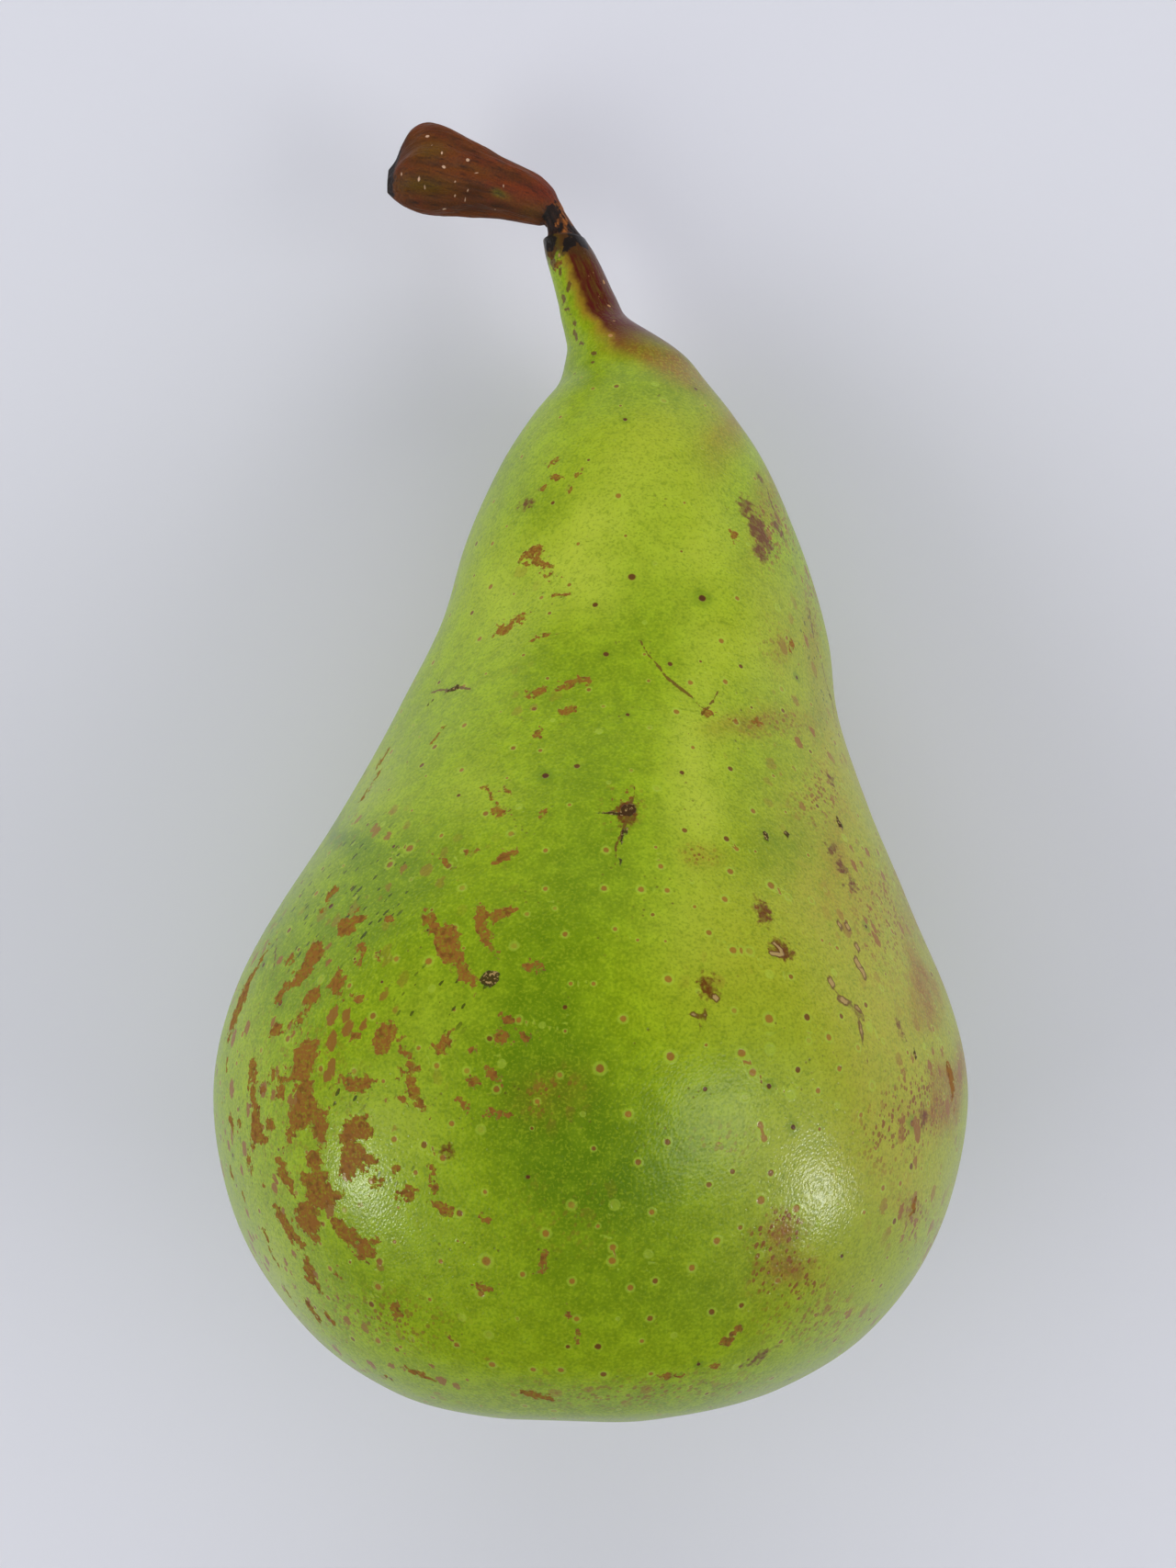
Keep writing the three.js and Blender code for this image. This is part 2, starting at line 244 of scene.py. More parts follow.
@dataclass
class PearForm:
    """The grown form of the pear: where a point of the fruit or the stalk lies, in the row frame.

    The grid's rows crowd together on the stalk foot, and its columns on the side that faces up.
    """

    upward_crowding: float = 0.35
    foot_crowding: float = 1.2
    crowded_from: float = 88.0
    crowded_to: float = 100.0
    fitting_rows: int = 200

    def __post_init__(self) -> None:
        """Finds the shift and the slight stretch that bring the fine fruit into its solid's box."""
        rough = self.lay(self.fruit_points(*self.fruit_grid(self.fitting_rows, self.fitting_rows)))
        low, high = (np.array(corner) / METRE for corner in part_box("fruit"))
        fine_low, fine_high = rough.reshape(-1, 3).min(0), rough.reshape(-1, 3).max(0)
        fine_low[2] += FLAT_SPOT_DEPTH
        self.stretch = (high - low) / (fine_high - fine_low)
        self.shift = low - fine_low * self.stretch

    def fruit_grid(self, rows: int, columns: int) -> tuple[np.ndarray, np.ndarray, np.ndarray]:
        """Lays out a grid over the fruit.

        The angle at share t of a turn is w plus the upward crowding times cos w, with w = 2 pi t + pi / 2.

        Args:
            rows: rings from the base to the end of the stalk foot.
            columns: points round a ring.

        Returns:
            Stations and radii as columns, and angles as a row.
        """
        curve = spline(PROFILE)
        crowding = 1 + self.foot_crowding * ramp(curve[:, 0], self.crowded_from, self.crowded_to)
        even = evenly(curve, curve, rows, crowding)
        turn = np.linspace(0, 2 * np.pi, columns, endpoint=False) + np.pi / 2
        angle = turn + self.upward_crowding * np.cos(turn)
        return even[:, :1], even[:, 1:], angle[None]

    def fruit_points(self, station: np.ndarray, radius: np.ndarray, angle: np.ndarray) -> np.ndarray:
        """Where points of the fruit lie before it is laid down.

        The reach from the middle line is the radius times (1 + ribs) plus a slow unevenness. Across is
        lean + reach cos(angle), height is droop + reach sin(angle) times the depth share, and the
        station drops with the height near the base, and on the ribs' crests round the calyx.

        Args:
            station: distance along the axis.
            radius: radius of the plain outline there.
            angle: turn round the axis, a quarter turn being upwards.

        Returns:
            Points as (across, station, height), in millimetres.
        """
        strength = 0.016 * bell(station, 0, 9) + 0.008 * bell(station, 26, 22)
        sway = 0.006 * bell(station, 40, 30) * np.cos(3 * angle - 1.1 + station / 40)
        ribs = 1 + strength * np.cos(RIB_COUNT * angle + 0.6) + sway
        fade = np.clip(station / 12, 0, 1) * np.clip((90 - station) / 12, 0, 1) * np.clip(radius / 8, 0, 1)
        waves = (
            0.22 * np.sin(2 * angle + station / 9)
            + 0.16 * np.sin(4 * angle - station / 6.5 + 1.3)
            + 0.12 * np.sin(7 * angle + station / 5 + 0.5)
        )
        reach = radius * ribs + fade * waves
        across = read(LEAN, station) + reach * np.cos(angle)
        height = read(DROOP, station) + reach * np.sin(angle) * read(DEPTH_SHARE, station)
        slant = BASE_SLANT * bell(station, 0, 14) * height
        rim = bell(radius, 8, 3.5) * np.clip(radius / 4, 0, 1) * bell(station, 0, 9)
        crest = 0.12 * rim * np.cos(RIB_COUNT * angle + 0.6)
        return np.stack([across, station - slant - crest, height + 0 * station], axis=-1)

    def lay(self, points: np.ndarray) -> np.ndarray:
        """Turns points of the upright pear about the across axis, so that it lies with its neck low.

        The station becomes station cos(tilt) + height sin(tilt), and the height becomes
        height cos(tilt) - station sin(tilt).

        Args:
            points: places as (across, station, height).

        Returns:
            The turned places, in the same units.
        """
        across, station, height = points[..., 0], points[..., 1], points[..., 2]
        cosine, sine = math.cos(LYING_TILT), math.sin(LYING_TILT)
        return np.stack([across, station * cosine + height * sine, height * cosine - station * sine], axis=-1)

    def in_frame(self, points: np.ndarray) -> np.ndarray:
        """Lays upright points down and brings them into the row frame, in millimetres."""
        return self.lay(points) * self.stretch + self.shift

    def camera_place(self) -> np.ndarray:
        """Where the camera stands: above the widest part, moved towards the neck.

        Returns:
            Its place in the row frame, in millimetres.
        """
        widest = self.in_frame(np.array([0.0, WIDEST_STATION, 0.0]))
        aside = -WIDEST_PART_RIGHT_OF_CENTRE / PIXELS_PER_MM
        ahead = WIDEST_PART_BELOW_CENTRE / PIXELS_PER_MM
        return widest + np.array([aside, ahead, CAMERA_ABOVE_AXIS])

    def in_picture(self, points: np.ndarray) -> tuple[np.ndarray, np.ndarray]:
        """Finds the pixel of the picture at which the camera sees each point.

        Args:
            points: places in the row frame, in millimetres.

        Returns:
            Pixels across from the left edge and down from the upper one.
        """
        away = points - self.camera_place()
        across = PICTURE_WIDTH / 2 - FOCAL_PIXELS * away[..., 0] / away[..., 2]
        down = PICTURE_HEIGHT / 2 + FOCAL_PIXELS * away[..., 1] / away[..., 2]
        return across, down


def held_in(points: np.ndarray, node: str) -> np.ndarray:
    """Squeezes points into a node's box on each axis where they pass it, and leaves the other axes alone.

    Args:
        points: places in the row frame, in millimetres.
        node: name of the solid that the points stand for.

    Returns:
        The places after the squeeze.
    """
    low, high = (np.array(corner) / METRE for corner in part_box(node))
    flat = points.reshape(-1, 3)
    mine_low, mine_high = flat.min(0), flat.max(0)
    new_low, new_high = np.maximum(mine_low, low), np.minimum(mine_high, high)
    return new_low + (points - mine_low) * (new_high - new_low) / (mine_high - mine_low)


def normals_of(grid: np.ndarray) -> np.ndarray:
    """Outward normals of a closed grid: the slope along the rows crossed with the slope round them.

    Args:
        grid: points in rings, shape (rows, columns, 3).

    Returns:
        Unit normals in the same shape.
    """
    along = np.gradient(grid, axis=0)
    around = np.roll(grid, -1, axis=1) - np.roll(grid, 1, axis=1)
    normal = np.cross(along, around)
    return normal / (np.linalg.norm(normal, axis=-1, keepdims=True) + 1e-12)


@dataclass
class Surface:
    """A closed surface: rings of points between two poles, with values kept at the points."""

    rings: np.ndarray
    start: np.ndarray
    end: np.ndarray
    values: dict[str, np.ndarray]

    def points(self) -> np.ndarray:
        """All points in metres: the start pole, the rings in turn, then the end pole."""
        return np.vstack([self.start[None], self.rings.reshape(-1, 3), self.end[None]]) * METRE

    def faces(self) -> tuple[np.ndarray, np.ndarray]:
        """Joins the rings to each other and to the poles.

        Returns:
            The four-sided faces between rings, and the three-sided ones at both poles.
        """
        rows, columns = self.rings.shape[:2]
        index = 1 + np.arange(rows * columns).reshape(rows, columns)
        turned = np.roll(index, -1, axis=1)
        quads = np.stack([index[:-1], index[1:], turned[1:], turned[:-1]], axis=-1).reshape(-1, 4)
        last = 1 + rows * columns
        first_fan = np.stack([np.zeros(columns, int), index[0], turned[0]], axis=-1)
        last_fan = np.stack([index[-1], np.full(columns, last), turned[-1]], axis=-1)
        return quads, np.vstack([first_fan, last_fan])


def piece_from(surfaces: list[Surface], name: str) -> bpy.types.Object:
    """Makes one mesh object from closed surfaces, with their values as attributes of its points.

    Args:
        surfaces: the surfaces; all hold the same named values.
        name: the piece's name.

    Returns:
        The object, shaded smooth, at the origin.
    """
    points = np.vstack([s.points() for s in surfaces])
    starts = np.cumsum([0] + [len(s.points()) for s in surfaces[:-1]])
    quads = np.vstack([s.faces()[0] + start for s, start in zip(surfaces, starts)])
    fans = np.vstack([s.faces()[1] + start for s, start in zip(surfaces, starts)])
    loops = np.concatenate([quads.ravel(), fans.ravel()]).astype(np.int32)
    sides = np.concatenate([np.full(len(quads), 4), np.full(len(fans), 3)])
    mesh = bpy.data.meshes.new(name)
    mesh.vertices.add(len(points))
    mesh.vertices.foreach_set("co", points.astype(np.float32).ravel())
    mesh.loops.add(len(loops))
    mesh.loops.foreach_set("vertex_index", loops)
    mesh.polygons.add(len(sides))
    mesh.polygons.foreach_set("loop_start", np.concatenate([[0], np.cumsum(sides)[:-1]]).astype(np.int32))
    mesh.polygons.foreach_set("loop_total", sides.astype(np.int32))
    mesh.polygons.foreach_set("use_smooth", np.ones(len(sides), bool))
    mesh.update(calc_edges=True)
    mesh.validate()
    for key in surfaces[0].values:
        parts = [spread(s, key) for s in surfaces]
        value = np.concatenate(parts).astype(np.float32)
        kind = "FLOAT" if value.ndim == 1 else "FLOAT_VECTOR"
        attribute = mesh.attributes.new(key, kind, "POINT")
        attribute.data.foreach_set("value" if value.ndim == 1 else "vector", value.ravel())
    piece = bpy.data.objects.new(name, mesh)
    bpy.context.scene.collection.objects.link(piece)
    return piece


def spread(surface: Surface, key: str) -> np.ndarray:
    """Lists a value for all of a surface's points, each pole taking the mean of the ring beside it.

    Args:
        surface: the surface that holds the value.
        key: the value's name.

    Returns:
        The value at the start pole, at the rings in turn and at the end pole.
    """
    value = surface.values[key]
    rows, columns = surface.rings.shape[:2]
    flat = value.reshape(rows * columns, *value.shape[2:])
    return np.concatenate([value[0].mean(0)[None], flat, value[-1].mean(0)[None]])


class MarkKind(Enum):
    """What a mark on the skin is, and the attribute that holds it."""

    RUSSET = "russet"
    BRUISE = "bruise"
    SCAB = "scab"
    SCAR = "scar"
    CRACK = "crack"
    CHAR = "char"
    PALE_SPECK = "pale_speck"


class Wash(Enum):
    """A soft change over the skin, of its colour or of how many small marks it has."""

    # Darker green, partly the skin's own and partly painted shade down the middle, which faces straight up.
    DEEP = "deep"
    # Paler green, partly the skin's own and partly painted highlight: the glow on the neck and the streak
    # down the waist.
    PALE = "pale"
    SUNNY = "sunny"
    BLUSH = "blush"
    FLECKED = "flecked"
    PITTED = "pitted"
    STIPPLED = "stippled"


@dataclass(frozen=True)
class Fleck:
    """A mark about an ellipse in shape, placed by the pixel of the picture at its middle.

    Length and width are in millimetres, the turn is in degrees, anticlockwise in the picture, and
    ragged is how far noise moves the edge, in millimetres.
    """

    right: float
    down: float
    length: float
    width: float
    turn: float = 0.0
    ragged: float = 0.3


@dataclass(frozen=True)
class Cloud:
    """A soft patch of a wash: its middle and half sizes in pixels of the picture, and its strength.

    A positive turn, in degrees, slopes down to the right.
    """

    right: float
    down: float
    half_width: float
    half_height: float
    strength: float
    turn: float = 0.0


@dataclass(frozen=True)
class Dot:
    """A corky pore: its pixel of the picture, its radius in millimetres, and its tone, one for dark."""

    right: float
    down: float
    radius: float
    tone: float


# Corky russet, read off the picture.
RUSSET = (
    Fleck(340, 1043, 3.2, 2.0, 75, 0.45), Fleck(333, 1061, 2.6, 1.4, 20, 0.4),
    Fleck(342, 1084, 2.0, 1.3, 20), Fleck(371, 1077, 2.6, 1.5, -55), Fleck(387, 1088, 1.2, 0.9),
    Fleck(395, 1033, 1.3, 1.0), Fleck(388, 1004, 3.0, 1.5, 0, 0.9), Fleck(299, 1123, 1.5, 1.1),
    Fleck(328, 1113, 1.9, 0.9, 30), Fleck(385, 1125, 1.2, 1.0), Fleck(331, 1145, 3.4, 2.5, 70, 0.5),
    Fleck(329, 1165, 3.2, 2.2, 20, 0.5), Fleck(335, 1190, 4.0, 1.8, 80, 0.4),
    Fleck(336, 1214, 4.4, 2.4, 10, 0.6), Fleck(347, 1233, 3.0, 1.7, -60), Fleck(320, 1216, 1.7, 1.3),
    Fleck(306, 1181, 2.0, 1.0, 60), Fleck(274, 1171, 2.8, 1.4, 80), Fleck(275, 1197, 3.0, 1.4, 80, 0.4),
    Fleck(278, 1225, 3.2, 2.0, 80, 0.5), Fleck(261, 1222, 1.7, 0.8, 85),
    Fleck(391, 1229, 3.2, 2.0, 15, 0.5), Fleck(379, 1264, 3.6, 2.0, 70, 0.5), Fleck(389, 1272, 1.6, 1.0),
    Fleck(339, 1259, 1.7, 1.4), Fleck(304, 1262, 1.4, 0.9, 70), Fleck(253, 1281, 1.5, 0.9, 80),
    Fleck(348, 1299, 3.8, 2.7, 60, 0.6), Fleck(335, 1326, 4.0, 2.6, 30, 0.7),
    Fleck(341, 1348, 2.1, 1.1, 60), Fleck(311, 1336, 3.2, 1.3, -35, 0.4), Fleck(325, 1349, 1.9, 0.9, -30),
    Fleck(376, 1336, 3.2, 1.7, -30, 0.6), Fleck(397, 1359, 2.4, 1.5, 30, 0.5),
    Fleck(337, 1385, 2.2, 1.3, 70, 0.6), Fleck(345, 1402, 1.5, 0.9, -60), Fleck(342, 1426, 1.9, 1.0, -50),
    Fleck(417, 1130, 3.0, 1.9, 75), Fleck(443, 1151, 2.5, 0.9, -55), Fleck(394, 1177, 2.4, 1.4, 0, 0.6),
    Fleck(453, 1190, 2.5, 0.9, -55), Fleck(461, 1206, 1.3, 0.9), Fleck(489, 1135, 2.4, 1.1, 30, 0.5),
    Fleck(468, 999, 2.0, 1.0, -60), Fleck(489, 1020, 3.4, 2.2, -70, 0.4),
    Fleck(489, 1040, 2.8, 1.7, -50, 0.4), Fleck(502, 1058, 2.6, 1.0, -50),
    Fleck(524, 1008, 2.7, 0.8, -70, 0.4), Fleck(541, 997, 2.0, 0.9, 30), Fleck(547, 931, 2.0, 1.0, 25),
    Fleck(507, 925, 1.4, 0.8), Fleck(486, 938, 1.9, 0.5, -40), Fleck(581, 1050, 1.7, 0.9),
    Fleck(419, 1287, 2.1, 0.9, 40), Fleck(443, 1300, 1.3, 0.8, 10), Fleck(589, 1371, 1.7, 1.1, 80, 0.5),
    Fleck(431, 1425, 1.5, 1.0, 80), Fleck(453, 1493, 1.7, 0.6, -10), Fleck(452, 1512, 1.9, 0.5, -40),
    Fleck(423, 1499, 1.1, 0.5), Fleck(586, 1521, 2.4, 0.9, -35, 0.4), Fleck(648, 1491, 1.4, 0.8, 20),
    Fleck(490, 1460, 1.2, 0.5, -60), Fleck(260, 1103, 5.4, 2.4, 78, 0.8),
    Fleck(268, 1072, 2.6, 1.3, 70, 0.6), Fleck(282, 1048, 2.8, 0.9, 60, 0.5), Fleck(364, 972, 1.2, 0.9),
    Fleck(350, 994, 0.9, 0.5, 60), Fleck(407, 1040, 1.2, 0.4, -20), Fleck(390, 1046, 1.3, 0.7),
    Fleck(423, 1000, 1.1, 0.8, 80), Fleck(318, 1043, 1.3, 0.9, 0, 0.5),
    Fleck(309, 1082, 1.8, 1.1, 70, 0.6), Fleck(284, 1191, 2.0, 0.9, 10), Fleck(295, 1171, 1.4, 0.8, 60),
    Fleck(371, 1171, 1.0, 0.7), Fleck(440, 1196, 0.9, 0.6), Fleck(252, 1225, 1.6, 0.7, 88),
    Fleck(296, 1223, 1.3, 1.0), Fleck(401, 1266, 1.5, 0.8, 10), Fleck(315, 1237, 1.5, 0.6, 60),
    Fleck(290, 1239, 0.9, 0.6), Fleck(272, 1263, 1.8, 0.8, 80), Fleck(310, 1281, 2.8, 1.2, -25, 0.6),
    Fleck(332, 1280, 1.2, 0.8), Fleck(431, 1269, 1.2, 0.9), Fleck(364, 1303, 1.9, 1.1, 40, 0.5),
    Fleck(367, 1385, 1.2, 0.9), Fleck(475, 1288, 2.6, 0.7, -75), Fleck(480, 1312, 1.6, 0.8, -30),
    Fleck(512, 1177, 1.3, 0.7), Fleck(505, 1199, 1.0, 0.4, -60), Fleck(529, 1331, 1.0, 0.8),
    Fleck(529, 1401, 1.2, 0.7), Fleck(296, 1361, 1.8, 0.7, -50), Fleck(289, 1343, 1.0, 0.5, -60),
    Fleck(287, 1288, 1.1, 0.7, 80), Fleck(532, 1030, 2.0, 0.5, -60), Fleck(549, 1110, 0.9, 0.8),
    Fleck(547, 1128, 1.2, 0.7), Fleck(544, 1211, 1.5, 0.6), Fleck(520, 1147, 0.9, 0.5),
    Fleck(265, 1300, 1.5, 0.5, 80), Fleck(281, 1380, 1.6, 0.5, -55), Fleck(312, 1405, 1.6, 0.6, -50),
    Fleck(362, 1440, 1.3, 0.6, -40), Fleck(242, 1190, 1.6, 0.5, 86), Fleck(248, 1150, 1.5, 0.5, 84),
    Fleck(583, 599, 2.2, 0.8, 5), Fleck(585, 613, 1.8, 0.9, -20), Fleck(600, 625, 1.5, 0.5, -20, 0.2),
    Fleck(611, 648, 1.5, 0.8), Fleck(621, 529, 1.5, 0.6, 75, 0.2), Fleck(626, 516, 1.0, 0.5, 40, 0.2),
    Fleck(606, 501, 1.4, 0.7, 5), Fleck(605, 521, 0.8, 0.6), Fleck(591, 530, 0.7, 0.5),
    Fleck(629, 741, 2.4, 1.1, 10), Fleck(583, 755, 2.2, 1.0), Fleck(617, 775, 1.6, 0.9),
    Fleck(584, 798, 1.0, 0.7, -50), Fleck(476, 801, 1.4, 0.9, 80), Fleck(596, 693, 1.8, 0.5, 0, 0.15),
    Fleck(563, 673, 2.2, 0.45, 0, 0.15), Fleck(554, 685, 1.7, 0.7, 10, 0.5),
    Fleck(549, 887, 1.7, 0.7, -20), Fleck(553, 861, 1.3, 0.7, -20), Fleck(533, 861, 1.7, 0.5, -60),
    Fleck(586, 885, 1.2, 0.7, 10), Fleck(799, 585, 1.8, 0.8, 80, 0.2), Fleck(811, 785, 1.4, 0.5, 10, 0.9),
    Fleck(860, 702, 1.0, 0.6, 75, 0.6), Fleck(862, 701, 1.3, 0.7, 80), Fleck(540, 1170, 1.3, 0.5, -50),
    Fleck(574, 1129, 1.0, 0.7), Fleck(776, 1489, 1.1, 0.6), Fleck(729, 1501, 1.2, 0.5, 15),
    Fleck(802, 1445, 1.1, 0.5, 20), Fleck(793, 1458, 1.2, 0.7, 30), Fleck(1036, 1182, 3.4, 1.3, 85, 0.5),
    Fleck(993, 1313, 1.8, 1.0, 60, 0.5), Fleck(767, 774, 1.1, 0.7, 30), Fleck(624, 1430, 1.1, 0.5, 85),
    Fleck(627, 1452, 1.2, 0.5, 85), Fleck(412, 843, 2.4, 0.7, 60, 0.6),
    Fleck(420, 822, 1.6, 0.6, 60, 0.5), Fleck(395, 870, 1.8, 0.5, 55, 0.5),
    Fleck(600, 272, 1.4, 1.1, 0, 0.5), Fleck(606, 286, 0.8, 0.5, 70),
)
# Brown bruises and speckled shade under the skin.
BRUISES = (
    Fleck(812, 553, 2.4, 1.8, 45, 0.4), Fleck(825, 578, 4.6, 2.6, -78, 0.5),
    Fleck(828, 602, 2.0, 1.5, 80), Fleck(848, 1033, 2.2, 1.9, 20, 0.3),
    Fleck(684, 880, 2.8, 2.2, 60, 0.8), Fleck(849, 577, 2.4, 0.9, -60, 0.5),
    Fleck(825, 519, 1.5, 0.7, -50, 0.4), Fleck(832, 996, 2.2, 1.5, 80, 0.3),
    Fleck(773, 1071, 2.3, 1.2, 60, 0.4), Fleck(1004, 1214, 1.5, 0.8, 70, 0.4),
    Fleck(827, 1475, 2.6, 1.3, 12), Fleck(978, 1121, 1.4, 0.9, -60, 0.4), Fleck(487, 1250, 1.3, 0.9),
    Fleck(916, 940, 4.0, 0.8, -82, 0.9), Fleck(905, 925, 3.0, 0.6, -82, 0.9), Fleck(575, 549, 1.5, 1.0),
    Fleck(898, 842, 2.6, 0.6, -75, 0.8),
)
# Dry dark scabs.
SCABS = (
    Fleck(534, 1066, 1.4, 1.1, 45, 0.35), Fleck(685, 881, 1.3, 0.9, 60, 0.6),
    Fleck(667, 884, 1.5, 0.35, 0, 0.3), Fleck(679, 915, 1.8, 0.3, 75, 0.3),
    Fleck(858, 908, 0.9, 0.6, 45, 0.2), Fleck(832, 907, 1.0, 0.5, 80, 0.2),
    Fleck(488, 751, 3.4, 0.55, -12, 0.4), Fleck(995, 1147, 1.0, 0.3, 85, 0.1),
    Fleck(914, 895, 1.3, 0.6, 80, 0.2), Fleck(881, 668, 1.8, 0.25, -80, 0.2),
    Fleck(904, 760, 2.6, 0.3, -75, 0.3), Fleck(673, 936, 1.4, 0.35, 75, 0.3),
)
# Pale healed scars with a dark edge.
SCARS = (
    Fleck(913, 1006, 1.0, 0.6, 90, 0.1), Fleck(923, 1010, 1.0, 0.6, -70, 0.1),
    Fleck(932, 1030, 0.9, 0.5, 90, 0.1), Fleck(933, 1048, 1.1, 0.7, 70, 0.1),
    Fleck(938, 1061, 1.1, 0.6, 80, 0.1), Fleck(905, 1068, 1.1, 0.7, 90, 0.1),
    Fleck(918, 1088, 1.9, 0.8, 0, 0.3), Fleck(932, 1099, 1.3, 0.4, -55, 0.1),
    Fleck(938, 1124, 3.3, 0.35, -88, 0.1), Fleck(777, 1086, 0.8, 0.5, 60, 0.2),
    Fleck(768, 1106, 1.9, 0.25, 68, 0.05), Fleck(753, 1104, 1.0, 0.6, 0, 0.3),
    Fleck(914, 896, 0.8, 0.3, 80, 0.05), Fleck(843, 1028, 0.4, 0.3, 40, 0.15),
    Fleck(852, 1031, 0.35, 0.3, -50, 0.15), Fleck(846, 1036, 0.3, 0.25, 10, 0.15),
    Fleck(851, 1040, 0.4, 0.25, 30, 0.15), Fleck(842, 1040, 0.3, 0.25, 0, 0.15),
)
# Scratches as lines of (right, down, half width in millimetres).
SCRATCHES = (
    ((698, 699, 0.03), (706, 711, 0.07), (713, 722, 0.11), (726, 739, 0.14), (742, 750, 0.19),
     (751, 759, 0.09), (760, 768, 0.03)),
    ((784, 753, 0.04), (776, 764, 0.07), (766, 777, 0.13)),
    ((766, 778, 0.02), (754, 792, 0.04), (749, 798, 0.01)),
    ((880, 655, 0.04), (882, 672, 0.13), (887, 695, 0.08), (892, 715, 0.05), (896, 733, 0.11),
     (900, 748, 0.04)),
    ((902, 748, 0.04), (905, 762, 0.12), (911, 790, 0.07), (917, 812, 0.04)),
    ((303, 1022, 0.03), (301, 1040, 0.09), (299, 1055, 0.04)),
    ((659, 884, 0.05), (672, 881, 0.13), (684, 880, 0.2)),
    ((684, 884, 0.16), (678, 903, 0.12), (672, 922, 0.1), (668, 940, 0.03)),
    ((686, 878, 0.16), (689, 866, 0.08), (690, 858, 0.02)),
    ((488, 752, 0.05), (500, 748, 0.16), (512, 752, 0.06)),
    ((468, 756, 0.03), (480, 752, 0.13), (490, 750, 0.08)),
    ((836, 530, 0.05), (840, 548, 0.12), (847, 570, 0.1), (853, 585, 0.04)),
)
# Corky pores that stand out in the picture.
DOTS = (
    Dot(688, 626, 0.5, 0.85), Dot(764, 652, 0.5, 0.95), Dot(647, 660, 0.34, 0.85),
    Dot(594, 847, 0.42, 1.0), Dot(628, 834, 0.36, 0.85), Dot(619, 635, 0.3, 0.6), Dot(444, 923, 0.5, 0.6),
    Dot(424, 944, 0.45, 0.65), Dot(429, 923, 0.25, 0.9), Dot(464, 1048, 0.45, 0.4),
    Dot(530, 1372, 0.55, 0.55), Dot(593, 1342, 0.42, 0.5), Dot(622, 1393, 0.36, 0.5),
    Dot(523, 1412, 0.4, 0.5), Dot(412, 1376, 0.4, 0.6), Dot(413, 1400, 0.45, 0.5),
    Dot(537, 1486, 0.4, 0.5), Dot(828, 1305, 0.52, 0.5), Dot(869, 1318, 0.48, 0.4),
    Dot(780, 1352, 0.42, 0.5), Dot(751, 1380, 0.4, 0.45), Dot(667, 1356, 0.36, 0.5),
    Dot(664, 1376, 0.42, 0.4), Dot(688, 1404, 0.36, 0.5), Dot(709, 1320, 0.34, 0.5),
    Dot(840, 965, 0.5, 0.6), Dot(789, 978, 0.4, 0.4), Dot(727, 969, 0.36, 0.5), Dot(816, 1038, 0.45, 0.2),
    Dot(798, 1034, 0.45, 0.35), Dot(730, 1065, 0.45, 0.35), Dot(835, 1111, 0.55, 0.5),
    Dot(809, 1143, 0.5, 0.55), Dot(733, 1152, 0.5, 0.6), Dot(821, 1166, 0.45, 0.45),
    Dot(685, 1213, 0.4, 0.4), Dot(828, 1226, 0.42, 0.5), Dot(830, 1239, 0.42, 0.4),
    Dot(836, 1278, 0.4, 0.7), Dot(881, 1109, 0.42, 0.8), Dot(903, 1128, 0.42, 0.3),
    Dot(915, 1161, 0.36, 0.5), Dot(809, 1198, 0.4, 0.15), Dot(839, 1143, 0.45, 0.1),
    Dot(863, 1189, 0.45, 0.1), Dot(789, 914, 0.36, 0.8), Dot(801, 922, 0.3, 0.5), Dot(797, 947, 0.4, 0.6),
    Dot(655, 1163, 0.5, 0.65), Dot(673, 538, 0.4, 0.3), Dot(752, 743, 0.36, 0.3),
    Dot(791, 742, 0.36, 0.3), Dot(868, 738, 0.25, 1.0), Dot(765, 1186, 0.25, 0.9),
    Dot(500, 1319, 0.4, 0.7), Dot(593, 924, 0.3, 0.5),
)
# Black dried skin where the foot ends.
CHARRED = (
    Fleck(597, 263, 2.2, 1.8, 70, 0.35), Fleck(629, 257, 2.8, 1.5, -30, 0.4),
    Fleck(635, 258, 1.6, 1.2, 60, 0.3), Fleck(621, 262, 1.5, 0.9, 60, 0.4),
)
# Pale specks on the foot's red side.
PALE_SPECKS = (
    Fleck(657, 307, 0.5, 0.3, 70, 0.05), Fleck(663, 333, 0.45, 0.35, 0, 0.05),
    Fleck(668, 349, 0.3, 0.25, 0, 0.05), Fleck(664, 366, 0.55, 0.45, 0, 0.05),
    Fleck(646, 296, 0.5, 0.12, 75, 0.03), Fleck(652, 322, 0.6, 0.12, 72, 0.03),
    Fleck(641, 300, 0.4, 0.1, 75, 0.03), Fleck(598, 271, 0.35, 0.25, 0, 0.05),
    Fleck(622, 258, 0.5, 0.25, 60, 0.05), Fleck(609, 279, 0.4, 0.25, 70, 0.05),
)
# Small brown cracks down the stalk foot.
CRACKS = (
    Fleck(599, 272, 1.0, 0.7, 0, 0.3), Fleck(602, 285, 0.9, 0.5, 60, 0.3),
    Fleck(610, 297, 1.1, 0.4, 80, 0.25), Fleck(619, 311, 0.9, 0.5, 70, 0.25),
    Fleck(614, 326, 0.9, 0.5, 70, 0.25), Fleck(616, 336, 0.5, 0.3, 0, 0.2),
    Fleck(621, 342, 0.3, 0.2, 0, 0.1), Fleck(626, 352, 1.1, 0.5, 80, 0.25),
    Fleck(625, 361, 0.9, 0.4, 75, 0.2), Fleck(628, 367, 0.6, 0.3, -45, 0.2),
    Fleck(633, 373, 0.5, 0.25, -20, 0.15), Fleck(644, 383, 0.7, 0.25, -30, 0.2),
    Fleck(628, 401, 0.6, 0.25, -30, 0.2), Fleck(627, 406, 0.5, 0.2, 10, 0.15),
    Fleck(646, 395, 0.3, 0.2, 0, 0.1),
)
